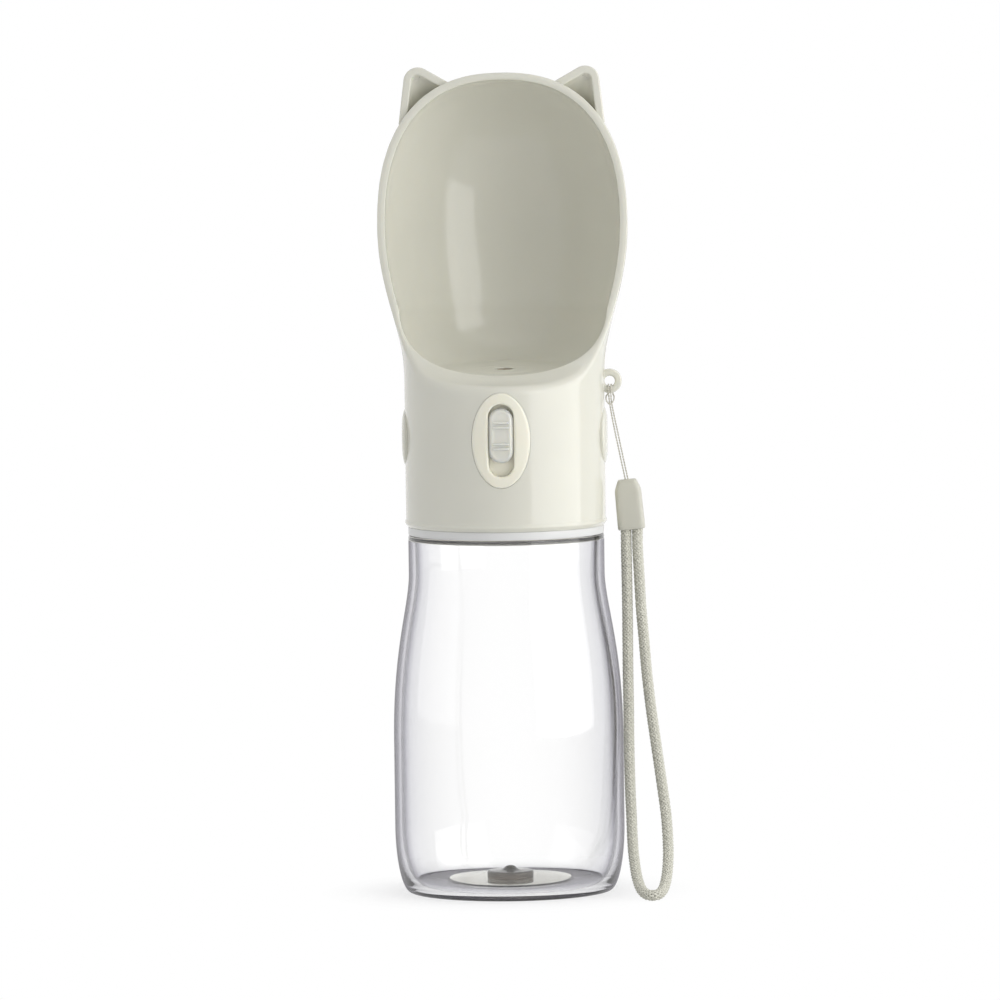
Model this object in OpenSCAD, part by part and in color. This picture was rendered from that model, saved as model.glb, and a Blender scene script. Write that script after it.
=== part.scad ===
// Dog travel water bottle: a clear bottle, a screwed-on drinking scoop with ears,
// a sliding lock key, a spring-closed outlet valve and a wrist strap.
// Origin at the centre of the base, +Z up, the scoop opens towards -Y. Millimetres.

/* [Bottle] */
// Radius of the bottle's belly
belly_r = 34.5; // [33:0.5:37]
// Height of the shoulder that the head's seal rests on
shoulder_z = 106.5; // [100:0.5:120]
// How far the bottle's waist stands in from the head's skirt
waist_inset = 0.6; // [0.3:0.1:1.5]
// Height of the straight waist under the shoulder
waist_h = 10.5; // [6:0.5:14]
// Height over which the belly narrows to the waist
taper_h = 50; // [40:1:60]
// Wall of the bottle
bottle_wall = 2; // [1.4:0.1:2.4]
// Height of the rounded heel
heel_h = 20; // [14:1:24]
// How far the heel comes in from the belly at the floor
heel_in = 4.5; // [3.5:0.5:6]
// Width of the ring that the bottle stands on
foot_w = 2.6; // [1.5:0.1:4]
// Radius of the raised middle of the base
base_mid_r = 18.6; // [14:0.2:21]
// Rise of the base's middle above the floor
base_rise = 3; // [1.5:0.25:4]
// Radius of the round boss in the middle of the base
boss_r = 7; // [5:0.5:9]
// Height of that boss
boss_h = 2; // [1:0.25:3]
// Outer radius of the neck
neck_r = 25.6; // [24:0.2:27]
// Wall of the neck
neck_wall = 2.6; // [1.8:0.1:3]
// Height of the neck above the shoulder
neck_h = 11.5; // [10:0.5:13]

/* [Head shell] */
// Wall of the head's skirt
skirt_wall = 2; // [1.6:0.1:2.6]
// Height from the skirt's lower edge to the start of the flare
skirt_h = 49.5; // [48:0.5:54]
// Height of the flare from the skirt to the scoop's widest ring
flare_h = 42; // [36:1:48]
// Radius of the scoop at its widest ring
scoop_r = 37.5; // [35:0.1:40]
// Height of the scoop above its widest ring, measured to its closed pole
dome_h = 45.8; // [42:0.2:52]
// Fullness of the scoop's upper curve, 2 for an ellipse
dome_power = 2.4; // [2:0.05:3]
// Wall of the scoop
scoop_wall = 2.2; // [1.6:0.1:2.8]
// How far the bead at the skirt's lower edge stands proud
edge_bead = 0.3; // [0.2:0.1:0.6]

/* [Scoop floor and mouth] */
// Height of the scoop's floor on the axis, above the skirt's lower edge
floor_h = 48.2; // [47.4:0.1:50]
// Slope of the floor, which rises to the back, in degrees
floor_tilt = 4.4; // [2:0.2:6]
// Radius of the rounding between floor and wall
floor_round = 20; // [16:0.5:21]
// Height of the lip at the front, above the skirt's lower edge
lip_h = 44.9; // [44.5:0.1:46]
// Radius of the sweep from the lip up the sides
lip_sweep_r = 27.5; // [24:0.5:30]
// Lean of the mouth above the sweep, in degrees
mouth_lean = 7; // [6:0.5:14]
// Height of the room for the works, above the skirt's lower edge
room_h = 42.9; // [42:0.1:43.2]
// Radius of the drain hole
drain_r = 2.5; // [2:0.1:3]
// Distance of the drain hole behind the axis
drain_y = 3.5; // [2:0.5:5]

/* [Ears] */
// Distance of each ear's tip from the middle
ear_x = 25.1; // [22:0.1:27]
// Height of the ears' tips above the scoop's widest ring
ear_rise = 47.5; // [46:0.1:52]
// Radius of the ears' tips
ear_tip_r = 4.3; // [3:0.1:5]
// Half of the angle between an ear's edges, in degrees
ear_half_angle = 33.5; // [30:0.25:38]
// Turn of an ear's middle line from upright, in degrees
ear_turn = 26.75; // [15:0.25:30]
// Wall of an ear
ear_wall = 2.4; // [1.5:0.1:2.6]
// Length of an ear along its middle line, most of it inside the scoop's outline
ear_len = 12; // [10:0.5:14]
// Distance of the ears' open face behind the mouth
ear_back = 1.2; // [0.8:0.1:2.5]

/* [Grip pads and eyelet] */
// Height of the pads' middle above the skirt's lower edge
pad_mid_h = 28.4; // [27:0.1:28.6]
// Width of a grip pad round the skirt
pad_w = 18; // [16:0.5:22]
// Height of a grip pad
pad_h = 17.5; // [15:0.5:18]
// How far a grip pad stands proud
pad_proud = 1.3; // [0.9:0.1:1.6]
// Width of the raised border of a grip pad
pad_border = 3; // [2:0.5:4]
// Depth of the dished middle of a grip pad
pad_dish = 0.6; // [0.4:0.1:0.8]
// Outer radius of the strap eyelet
eye_r = 3.65; // [3.2:0.05:4.2]
// Radius of the eyelet's hole
eye_hole_r = 1.55; // [1.3:0.05:1.8]
// Thickness of the eyelet
eye_t = 2.6; // [2:0.1:3.2]
// Height of the eyelet above the skirt's lower edge
eye_h = 44.6; // [43:0.1:46]

/* [Inner cap and seals] */
// Thickness of the seal between the bottle and the head
seal_t = 2; // [1.5:0.1:3]
// Thickness of the gasket over the bottle's mouth
gasket_t = 1.5; // [1:0.1:2]
// Thickness of the inner cap's disc
disc_t = 2; // [1.6:0.1:2.2]
// Wall of the inner cap's collar round the neck
collar_wall = 1.9; // [1.5:0.1:2.4]
// How far the collar stops short of the skirt's lower edge
collar_lift = 0.8; // [0.5:0.1:2]
// Height of the snap bead's groove above the skirt's lower edge
snap_up = 3.5; // [3:0.25:5]
// How far the snap bead stands out of the collar
snap_bead = 0.35; // [0.2:0.05:0.5]

/* [Lock key] */
// Width of the oval bezel
bezel_w = 17.5; // [15:0.5:19]
// Height of the oval bezel
bezel_h = 28.4; // [27.6:0.2:28.6]
// Height of the bezel's middle above the skirt's lower edge
bezel_mid_h = 28.9; // [28.7:0.1:29.2]
// How far the bezel stands proud of the skirt
bezel_proud = 0.35; // [0.1:0.05:0.6]
// Thickness of the bezel in its middle
bezel_t = 2.85; // [2.6:0.05:2.95]
// Width of the slot that the key slides in
slot_w = 7.5; // [7:0.1:8]
// Height of that slot
slot_h = 21.6; // [21:0.1:22]
// Width of the key
key_w = 6.5; // [6:0.1:6.8]
// Height of the key
key_h = 15.9; // [15:0.1:16.3]
// How far the key stands proud of the bezel
key_proud = 0.3; // [0:0.1:0.6]
// Height of a grip rib on the key
rib_t = 0.5; // [0.4:0.05:0.7]
// Gap between the key and the slot's upper end when locked
key_top_gap = 1.4; // [1:0.1:1.6]
// Travel of the key from locked down to unlocked
lock_travel = 4; // [3.5:0.1:4]
// Travel of the key when it is pressed
press_travel = 2.5; // [2:0.1:2.8]
// Radius of the key's stem
stem_r = 1.5; // [1.2:0.05:1.6]
// Thickness of the sliding plate behind the bezel
plate_t = 1.5; // [1.2:0.1:1.7]
// Half of the plate's width
plate_half_w = 5; // [4.8:0.1:5.2]
// Depth from the plate's back to the bridge that holds the spring
cage_d = 8.5; // [8:0.1:8.8]

/* [Valve] */
// Radius of the valve's barrel
barrel_r = 7.5; // [7.2:0.1:8.2]
// Radius of the barrel's rear chamber
chamber_r = 6; // [5.7:0.1:6.2]
// Radius of the throat that the seal closes
throat_r = 4.2; // [3.8:0.1:4.4]
// Distance of the valve's seat behind the axis
seat_y = 8.5; // [8.25:0.25:9]
// Distance of the barrel's rear end behind the axis
barrel_end_y = 21.5; // [20.5:0.25:22.5]
// Length of the plug that closes the barrel
plug_len = 3.5; // [3:0.1:4]
// Distance of the inlet behind the axis
inlet_y = 13; // [12.5:0.25:14]
// Radius of the inlet's bore
inlet_r = 2.6; // [2.2:0.1:3]
// Wall of the inlet and outlet tubes
tube_wall = 2; // [1.5:0.1:2.2]
// Radius of the piston on the valve's stem
piston_r = 2.95; // [2.8:0.05:3.1]
// Radius of the section of an O-ring
ring_section_r = 0.5; // [0.45:0.01:0.55]
// Height of the screw lugs above the inner cap
lug_up = 8; // [7:0.25:9]
// Distance of the valve's screws from the middle
screw_x = 11; // [10.5:0.25:13]
// Radius of the wire of both springs
wire_r = 0.3; // [0.25:0.01:0.35]
// Turns of each spring
spring_turns = 5; // [4:1:5]

/* [Strap] */
// Radius of the braided cord
cord_r = 1.5; // [1.2:0.1:1.5]
// Radius of the thin string
string_r = 0.25; // [0.2:0.01:0.25]
// Width of the ferrule at its top
ferrule_top_w = 5.5; // [5:0.1:6]
// Width of the ferrule at its foot
ferrule_foot_w = 8.2; // [7.6:0.1:8.6]
// Depth of the ferrule from front to back
ferrule_d = 5; // [4:0.1:6]

/* [Fits] */
// Gap between the neck and the collar that turns on it
thread_gap = 0.4; // [0.3:0.05:0.6]
// Gap where pieces are pushed together
push_gap = 0.1; // [0.05:0.01:0.15]
// Gap where pieces slide on each other
slide_gap = 0.1; // [0.05:0.01:0.1]
// Gap where moving pieces pass freely
free_gap = 0.3; // [0.25:0.05:0.4]

/* [Hidden] */
$fn = 96;
far = 100;
sliver = 0.05;

// Radii that follow from each other, from the neck outwards
collar_in_r = neck_r + thread_gap;
collar_r = collar_in_r + collar_wall;
room_r = collar_r + push_gap;
skirt_r = room_r + skirt_wall;
waist_r = skirt_r - waist_inset;

// Heights that follow from each other, from the floor up
neck_top_z = shoulder_z + neck_h;
head_z = shoulder_z + seal_t;
gasket_z = neck_top_z + push_gap;
disc_z = gasket_z + gasket_t;
deck_z = disc_z + disc_t;
room_top_z = head_z + room_h;
flare_z = head_z + skirt_h;
wide_z = flare_z + flare_h;
floor_z = head_z + floor_h;
lip_z = head_z + lip_h;
eye_z = head_z + eye_h;
pad_z = head_z + pad_mid_h;
bezel_z = head_z + bezel_mid_h;

/* Curves shared by several pieces */
flare_lead = 0.8;
function flare_share(z) = (1 - cos(180 * pow((z - flare_z) / flare_h, flare_lead))) / 2;
function scoop_radius(z) = z <= flare_z ? skirt_r : skirt_r + (scoop_r - skirt_r) * flare_share(z);
function bezier(a, b, c, d, t) =
    a * pow(1 - t, 3) + 3 * b * t * pow(1 - t, 2) + 3 * c * t * t * (1 - t) + d * pow(t, 3);
function dome(r, h, steps) = [for (i = [0:steps]) let (a = 90 * i / steps)
    [r * pow(cos(a), 2 / dome_power), wide_z + h * pow(sin(a), 2 / dome_power)]];
function oval(w, h, steps) =
    [for (i = [0:steps - 1]) let (a = 360 * i / steps) [w / 2 * cos(a), h / 2 * sin(a)]];

module along_x(length) rotate([90, 0, 90]) linear_extrude(length) children();
module from_front(y, length) translate([0, y + length, 0]) rotate([90, 0, 0])
    linear_extrude(length) children();
module rod_y(r, y0, y1) translate([0, y0, 0]) rotate([-90, 0, 0]) cylinder(r = r, h = y1 - y0);
module stadium(w, h) {
    square([w, h - w], center = true);
    for (s = [-1, 1]) translate([0, s * (h - w) / 2]) circle(d = w);
}
module ring(r_in, r_out, z, h) rotate_extrude()
    translate([r_in, z]) square([r_out - r_in, h]);

/* Tubes swept along points, with an unturned frame carried from ring to ring */
function unit(v) = v / norm(v);
function heading(p, i) = unit(p[min(i + 1, len(p) - 1)] - p[max(i - 1, 0)]);
function carried(p, start) = [for (i = 0, u = unit(cross(cross(heading(p, 0), start), heading(p, 0)));
    i < len(p);
    i = i + 1, u = i < len(p) ? unit(u - (u * heading(p, i)) * heading(p, i)) : u) u];
module tube(p, r, sides, start) {
    u = carried(p, start);
    last = (len(p) - 1) * sides;
    rings = [for (i = [0:len(p) - 1], k = [0:sides - 1])
        let (a = 360 * k / sides, v = cross(heading(p, i), u[i]))
        p[i] + r * (cos(a) * u[i] + sin(a) * v)];
    walls = [for (i = [0:len(p) - 2], k = [0:sides - 1])
        let (a = i * sides + k, b = i * sides + (k + 1) % sides)
        each [[a, a + sides, b], [b, a + sides, b + sides]]];
    polyhedron(rings, concat(walls,
        [[for (k = [0:sides - 1]) k]],
        [[for (k = [sides - 1:-1:0]) last + k]]));
}

/* Bottle */
belly_top_z = shoulder_z - waist_h - taper_h;
foot_r = belly_r - heel_in;
taper_low = 0.56;
taper_high = 0.2;
inner_heel_h = heel_h - bottle_wall;
inner_heel_in = heel_in + bottle_wall / 4;
shoulder_wall = 0.65 * bottle_wall;
shoulder_round = 1.4;
function heel(r, in, h, z) = [for (i = [0:8]) let (a = 90 * i / 8)
    [r - in + in * sin(a), z + h * (1 - cos(a))]];
function taper(r_low, r_high) = [for (i = [0:14]) let (t = i / 14)
    [bezier(r_low, r_low, r_high, r_high, t),
     bezier(belly_top_z, belly_top_z + taper_low * taper_h,
        belly_top_z + (1 - taper_high) * taper_h, belly_top_z + taper_h, t)]];
function backwards(list) = [for (i = [len(list) - 1:-1:0]) list[i]];
base_top_z = base_rise + bottle_wall;
edge_round = 0.6;
nub_share = 0.6;
module bottle_profile() polygon(concat(
    [[0, base_rise + boss_h], [boss_r - bottle_wall, base_rise + boss_h],
     [boss_r - bottle_wall, base_rise], [base_mid_r, base_rise], [foot_r - foot_w, 0]],
    heel(belly_r, heel_in, heel_h, 0),
    taper(belly_r, waist_r),
    [[waist_r, shoulder_z - edge_round], [waist_r - edge_round, shoulder_z],
     [neck_r, shoulder_z], [neck_r, neck_top_z - edge_round],
     [neck_r - edge_round, neck_top_z], [neck_r - neck_wall, neck_top_z],
     [neck_r - neck_wall, shoulder_z - shoulder_wall],
     [waist_r - bottle_wall - shoulder_round, shoulder_z - shoulder_wall],
     [waist_r - bottle_wall, shoulder_z - shoulder_wall - shoulder_round]],
    backwards(taper(belly_r - bottle_wall, waist_r - bottle_wall)),
    backwards(heel(belly_r - bottle_wall, inner_heel_in, inner_heel_h, bottle_wall)),
    [[base_mid_r, base_top_z], [boss_r, base_top_z], [boss_r, base_top_z + boss_h],
     [nub_share * boss_r, base_top_z + boss_h], [nub_share * boss_r, base_top_z + 1.5 * boss_h],
     [0, base_top_z + 1.5 * boss_h]]));
module bottle() color([0.85, 0.87, 0.9, 0.5]) rotate_extrude() bottle_profile();

module neck_seal() color([0.75, 0.78, 0.8])
    ring(neck_r + thread_gap, waist_r, shoulder_z + sliver, seal_t - 2 * sliver);

/* Head shell */
bead_h = 3.3;
module scoop_outside() rotate_extrude() polygon(concat(
    [[0, head_z], [waist_r, head_z], [skirt_r + edge_bead, head_z + 0.8 * bead_h],
     [skirt_r + edge_bead, head_z + bead_h], [skirt_r, head_z + bead_h + 2 * edge_bead]],
    [for (i = [0:13]) let (z = flare_z + flare_h * i / 14) [scoop_radius(z), z]],
    dome(scoop_r, dome_h, 14)));
floor_low_z = floor_z - 1.8;
wall_z = floor_low_z + floor_round;
wall_r = scoop_radius(wall_z) - scoop_wall;
module scoop_inside() intersection() {
    rotate_extrude() polygon(concat(
        [[0, floor_low_z]],
        [for (i = [0:8]) let (a = 90 * i / 8)
            [wall_r - floor_round * (1 - sin(a)), wall_z - floor_round * cos(a)]],
        [for (i = [1:10]) let (z = wall_z + (wide_z - wall_z) * i / 11)
            [scoop_radius(z) - scoop_wall, z]],
        dome(scoop_r - scoop_wall, dome_h - scoop_wall, 14)));
    translate([0, 0, floor_z]) rotate([floor_tilt, 0, 0])
        translate([-far, -far, 0]) cube([2 * far, 2 * far, 2 * far]);
}
// The mouth is cut along a side profile: a round sweep, then a straight lean
sweep_y = -(skirt_r + 1);
sweep_z = lip_z + lip_sweep_r;
turn_y = sweep_y + lip_sweep_r * cos(mouth_lean);
turn_z = sweep_z - lip_sweep_r * sin(mouth_lean);
function mouth_y(z) = turn_y + (z - turn_z) * tan(mouth_lean);
module mouth_cut() translate([-far, 0, 0]) along_x(2 * far) {
    translate([sweep_y, sweep_z]) circle(r = lip_sweep_r);
    polygon([[sweep_y, sweep_z], [sweep_y, lip_z], [-far, lip_z], [-far, wide_z + far],
        [mouth_y(wide_z + far), wide_z + far], [turn_y, turn_z]]);
}
ear_mid_z = wide_z + ear_rise - ear_tip_r;
module ear_cone(r) {
    slope = tan(ear_half_angle);
    start = r * sin(ear_half_angle);
    r0 = r * cos(ear_half_angle);
    sphere(r = r);
    translate([0, 0, -ear_len]) cylinder(r1 = r0 + (ear_len + start) * slope, r2 = r0, h = ear_len + start);
}
module ear(side) translate([side * ear_x, mouth_y(ear_mid_z) + ear_back, ear_mid_z])
    rotate([-mouth_lean, 0, 0]) rotate([0, side * ear_turn, 0]) difference() {
        ear_cone(ear_tip_r);
        ear_cone(ear_tip_r - ear_wall);
        translate([-far, -2 * far, -far]) cube([2 * far, 2 * far, 2 * far]);
    }
// The pads swell out of the skirt as parts of one ball round the axis
module grip_pad(side) intersection() {
    difference() {
        translate([0, 0, pad_z]) sphere(r = skirt_r + pad_proud);
        cylinder(r = skirt_r - skirt_wall / 2, h = far * 2);
        difference() {
            translate([side * (skirt_r + pad_proud - pad_dish), 0, pad_z]) rotate([0, side * 90, 0])
                linear_extrude(pad_w) polygon(oval(pad_h - 2 * pad_border, pad_w - 2 * pad_border, 48));
            cylinder(r = skirt_r + pad_proud - pad_dish, h = far * 2);
        }
    }
    translate([0, 0, pad_z]) rotate([0, side * 90, 0])
        linear_extrude(far) polygon(oval(pad_h, pad_w, 48));
}
eye_x = skirt_r + eye_hole_r + sliver;
module eyelet_disc() translate([eye_x, 0, eye_z]) rod_y(eye_r, -eye_t / 2, eye_t / 2);
module eyelet_hole() translate([eye_x, 0, eye_z]) rod_y(eye_hole_r, -eye_t, eye_t);

// Places of the sliding plate, the key and its cage, all at the locked position
bezel_back_y = -(skirt_r + bezel_proud) + bezel_t;
plate_y = bezel_back_y + free_gap;
plate_back_y = plate_y + plate_t;
slot_top_z = bezel_z + slot_h / 2;
slot_low_z = bezel_z - slot_h / 2;
key_z = slot_top_z - key_top_gap - key_h / 2;
plate_top_z = slot_top_z + lock_travel + sliver;
plate_low_z = slot_low_z - 2 * free_gap;
rail_w = 1.9;
lip_in = 0.8;
lip_t = 1;
rail_x = plate_half_w + slide_gap;
lip_y = plate_back_y + free_gap;
seat_back_y = bezel_back_y + 0.15;
module rails() for (s = [0, 1]) mirror([s, 0, 0]) {
    translate([rail_x, -skirt_r + skirt_wall / 2, deck_z + free_gap])
        cube([rail_w, lip_y + lip_t + skirt_r - skirt_wall / 2, room_top_z - deck_z]);
    translate([rail_x - lip_in, lip_y, deck_z + free_gap])
        cube([lip_in + sliver, lip_t, room_top_z - deck_z]);
}
module bezel_seat() translate([0, 0, bezel_z]) from_front(-far, far + seat_back_y)
    polygon(oval(bezel_w + 2 * push_gap, bezel_h + 2 * push_gap, 64));
socket_h = 3.4;
outlet_r = drain_r + tube_wall;
snap_z = head_z + snap_up;
snap_h = 2;
module scoop_head() color([0.84, 0.835, 0.79]) difference() {
    union() {
        difference() {
            union() {
                scoop_outside();
                for (side = [-1, 1]) {
                    ear(side);
                    grip_pad(side);
                }
                eyelet_disc();
            }
            scoop_inside();
            mouth_cut();
            translate([0, 0, head_z - 1]) cylinder(r = room_r, h = room_h + 1);
        }
        intersection() {
            rails();
            cylinder(r = skirt_r - sliver, h = far * 2);
        }
        translate([0, drain_y, 0])
            ring(outlet_r + push_gap, outlet_r + push_gap + 1.2, room_top_z - socket_h, socket_h + sliver);
    }
    bezel_seat();
    translate([-rail_x - 0.2, bezel_back_y, room_top_z - 1])
        cube([2 * rail_x + 0.4, plate_t + 2 * free_gap, plate_top_z + free_gap - room_top_z + 1]);
    translate([0, drain_y, room_top_z - 1]) cylinder(r = drain_r, h = floor_h);
    eyelet_hole();
    ring(room_r - 1, room_r + snap_bead, snap_z, snap_h);
}

/* Inner cap, screwed on the bottle's neck and snapped into the skirt */
boss_outer_r = 2.8;
lug_z = deck_z + lug_up;
lug_t = 2;
screw_r = 1.05;
spigot_r = inlet_r + tube_wall;
module at_screws() for (s = [-1, 1]) translate([s * screw_x, inlet_y, 0]) children();
module inner_cap() color([0.9, 0.9, 0.88]) difference() {
    union() {
        rotate_extrude() polygon([
            [0, disc_z], [collar_in_r, disc_z], [collar_in_r, head_z + collar_lift],
            [collar_r, head_z + collar_lift], [collar_r, snap_z + push_gap],
            [collar_r + snap_bead, snap_z + snap_h / 2], [collar_r, snap_z + snap_h - push_gap],
            [collar_r, deck_z], [0, deck_z]]);
        at_screws() translate([0, 0, disc_z]) cylinder(r = boss_outer_r, h = lug_z - disc_z);
    }
    translate([0, inlet_y, disc_z - 1]) cylinder(r = spigot_r + push_gap, h = disc_t + 2);
    at_screws() translate([0, 0, deck_z + 0.4]) cylinder(r = screw_r + sliver, h = lug_z);
}
module cap_gasket() color([0.75, 0.78, 0.8])
    ring(neck_r - neck_wall, collar_in_r - push_gap, gasket_z, gasket_t);

/* Bezel, sliding plate, key and their spring */
module button_bezel() color([0.92, 0.91, 0.86]) intersection() {
    translate([0, 0, bezel_z]) from_front(-far, far + bezel_back_y) difference() {
        polygon(oval(bezel_w, bezel_h, 64));
        stadium(slot_w, slot_h);
    }
    cylinder(r = skirt_r + bezel_proud, h = far * 2);
}
arm_z = key_h / 2 + 2.3;
arm_t = 1.4;
arm_w = 5;
bridge_y = plate_back_y + cage_d;
bridge_t = 1.5;
module slide_carrier() color([0.9, 0.89, 0.84]) {
    difference() {
        translate([-plate_half_w, plate_y, plate_low_z])
            cube([2 * plate_half_w, plate_t, plate_top_z - plate_low_z]);
        translate([0, 0, key_z]) from_front(plate_y - 1, plate_t + 2)
            stadium(key_w + 2 * slide_gap, key_h + 2 * slide_gap);
    }
    for (s = [-1, 1]) translate([-arm_w / 2, plate_back_y, key_z + s * (arm_z + arm_t / 2) - arm_t / 2])
        cube([arm_w, cage_d, arm_t]);
}
module carrier_bridge() color([0.7, 0.7, 0.68]) difference() {
    translate([-arm_w / 2 - 1, bridge_y, key_z - arm_z - arm_t])
        cube([arm_w + 2, bridge_t, 2 * (arm_z + arm_t)]);
    translate([0, 0, key_z]) rod_y(stem_r + slide_gap, bridge_y - 1, bridge_y + bridge_t + 1);
}
key_face_y = -(skirt_r + bezel_proud + key_proud);
flange_y = plate_back_y + 0.2;
flange_t = 1.2;
flange_over = 1;
stem_end_y = bridge_y + bridge_t + 2 * stem_r / 3;
key_crown_r = 45;
rib_half = 2.4;
rib_spread = 0.2;
rib_pitch = 1.4;
rib_sink = rib_t - 0.3;
module push_key() color([0.83, 0.83, 0.78]) {
    intersection() {
        translate([0, 0, key_z]) from_front(key_face_y - 1, flange_y - key_face_y + 1)
            stadium(key_w, key_h);
        translate([0, key_face_y + key_crown_r, key_z]) rotate([0, 90, 0])
            cylinder(r = key_crown_r, h = key_w + 2, center = true, $fn = 200);
    }
    for (s = [-1, 1], t = [-1, 1])
        translate([0, key_face_y + rib_sink, key_z + s * rib_spread * key_h + t * rib_pitch / 2])
            rotate([0, 90, 0]) cylinder(r = rib_t, h = 2 * rib_half, center = true);
    translate([0, 0, key_z]) {
        from_front(flange_y, flange_t)
            stadium(key_w + 2 * flange_over - 0.4, key_h + 2 * flange_over);
        rod_y(stem_r, flange_y, stem_end_y);
    }
}

// A round-wire spring along Y: its wire is one unbroken tube with flat ends
function coil(r, y0, y1, z) = [for (i = [0:8 * spring_turns]) let (a = 360 * i / 8)
    [r * cos(a), y0 + wire_r + (y1 - y0 - 2 * wire_r) * i / (8 * spring_turns), z + r * sin(a)]];
function least_gap(p) = min([for (i = [0:len(p) - 1], k = [i + 5:1:len(p) - 1]) norm(p[i] - p[k])])
    - 2 * wire_r;
spring_gap = 0.05;
key_coil_r = stem_r + 0.9;
key_coil = coil(key_coil_r, flange_y + flange_t + spring_gap, bridge_y - spring_gap, key_z);
module key_spring() color([0.7, 0.7, 0.72]) {
    echo(key_spring_least_gap = least_gap(key_coil));
    tube(key_coil, wire_r, 6, [1, 0, 0]);
}

/* Outlet valve */
valve_z = key_z - lock_travel;
tip_y = stem_end_y + free_gap;
barrel_front_y = tip_y + press_travel + 0.6;
sleeve_r = 5;
sleeve_end_y = drain_y - outlet_r - 1;
piston_y = barrel_front_y + press_travel;
piston_len = 5;
washer_t = 1.7;
washer_r = throat_r + 1;
washer_y = seat_y + sliver;
head_y = washer_y + washer_t + sliver;
head_t = 1.5;
head_disc_r = throat_r + 1.2;
spigot_len = 1.7;
plug_y = barrel_end_y - plug_len;
plug_flange_t = 1.5;
inlet_seal_t = 1.2;
inlet_flange_t = 1.6;
outlet_seal_t = 1.2;
ring_mid_r = piston_r - ring_section_r - sliver;
plug_r = chamber_r - sliver;
plug_ring_mid_r = plug_r - ring_section_r - sliver;
groove_w = 2 * ring_section_r + 0.4;
stem_ring_y = piston_y + piston_len / 2;
plug_ring_y = plug_y + plug_len / 2;
module at_valve() translate([0, 0, valve_z]) children();
module ring_groove(mid_r, y) rotate([-90, 0, 0])
    ring(mid_r - ring_section_r - sliver, mid_r + 8 * ring_section_r, y - groove_w / 2, groove_w);
module o_ring(mid_r, y) translate([0, y, 0]) rotate([-90, 0, 0])
    rotate_extrude() translate([mid_r, 0]) circle(r = ring_section_r, $fn = 48);
module valve_body() color([0.88, 0.88, 0.9]) difference() {
    union() {
        at_valve() {
            rod_y(sleeve_r, barrel_front_y, sleeve_end_y + 1);
            rod_y(barrel_r, sleeve_end_y, barrel_end_y);
        }
        translate([0, drain_y, valve_z])
            cylinder(r = outlet_r, h = room_top_z - outlet_seal_t - valve_z);
        translate([0, inlet_y, disc_z + 0.3]) cylinder(r = spigot_r, h = valve_z - disc_z - 0.3);
        translate([0, inlet_y, deck_z + inlet_seal_t])
            cylinder(r = spigot_r + 1.8, h = inlet_flange_t);
        translate([-screw_x, inlet_y - boss_outer_r + 0.6, lug_z])
            cube([2 * screw_x, 2 * boss_outer_r - 1.2, lug_t]);
        at_screws() translate([0, 0, lug_z]) cylinder(r = boss_outer_r, h = lug_t);
    }
    at_valve() {
        rod_y(piston_r + slide_gap, barrel_front_y - 1, 0);
        rod_y(throat_r, sleeve_end_y, seat_y + 1);
        rod_y(chamber_r, seat_y, barrel_end_y + 1);
    }
    translate([0, drain_y, valve_z]) cylinder(r = drain_r, h = far);
    translate([0, inlet_y, 0]) cylinder(r = inlet_r, h = valve_z);
    at_screws() cylinder(r = screw_r + 0.25, h = far * 2);
}
module valve_stem() color([0.8, 0.8, 0.82]) at_valve() difference() {
    union() {
        rod_y(stem_r, tip_y, head_y + 0.5);
        rod_y(piston_r, piston_y, piston_y + piston_len);
        rod_y(stem_r + 0.6, washer_y - 0.9, washer_y - sliver);
        rod_y(head_disc_r, head_y, head_y + head_t);
        rod_y(stem_r + 0.6, head_y, head_y + head_t + spigot_len);
    }
    ring_groove(ring_mid_r, stem_ring_y);
}
module valve_seal() color([0.35, 0.36, 0.38]) at_valve() difference() {
    rod_y(washer_r, washer_y, washer_y + washer_t);
    rod_y(stem_r + sliver, washer_y - 1, washer_y + washer_t + 1);
}
module stem_seal() color([0.35, 0.36, 0.38]) at_valve() o_ring(ring_mid_r, stem_ring_y);
valve_coil = coil(stem_r + 1.7, head_y + head_t + spring_gap, plug_y - spring_gap, valve_z);
module valve_spring() color([0.7, 0.7, 0.72]) {
    echo(valve_spring_least_gap = least_gap(valve_coil));
    tube(valve_coil, wire_r, 6, [1, 0, 0]);
}
module spring_cap() color([0.88, 0.88, 0.9]) at_valve() difference() {
    union() {
        rod_y(plug_r, plug_y, barrel_end_y + 1);
        rod_y(barrel_r, barrel_end_y, barrel_end_y + plug_flange_t);
        rod_y(stem_r + 0.6, plug_y - 1.5, plug_y + 1);
    }
    ring_groove(plug_ring_mid_r, plug_ring_y);
    translate([-far, barrel_end_y + 0.7, -0.6]) cube([2 * far, 2, 1.2]);
}
module plug_seal() color([0.35, 0.36, 0.38]) at_valve() o_ring(plug_ring_mid_r, plug_ring_y);
module inlet_seal() color([0.35, 0.36, 0.38]) translate([0, inlet_y, 0])
    ring(spigot_r + push_gap, spigot_r + 1.7, deck_z, inlet_seal_t);
module outlet_seal() color([0.35, 0.36, 0.38]) translate([0, drain_y, 0])
    ring(drain_r + push_gap, outlet_r, room_top_z - outlet_seal_t, outlet_seal_t);
screw_head_r = 2.1;
screw_head_h = 1.6;
module valve_screws() color([0.65, 0.65, 0.67]) at_screws() difference() {
    union() {
        translate([0, 0, deck_z + 0.8]) cylinder(r = screw_r, h = lug_z + lug_t - deck_z);
        translate([0, 0, lug_z + lug_t]) cylinder(r = screw_head_r, h = screw_head_h);
    }
    for (a = [0, 90]) translate([0, 0, lug_z + lug_t + screw_head_h])
        rotate([0, 0, a]) cube([2.4, 0.5, 1.6], center = true);
}

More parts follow.
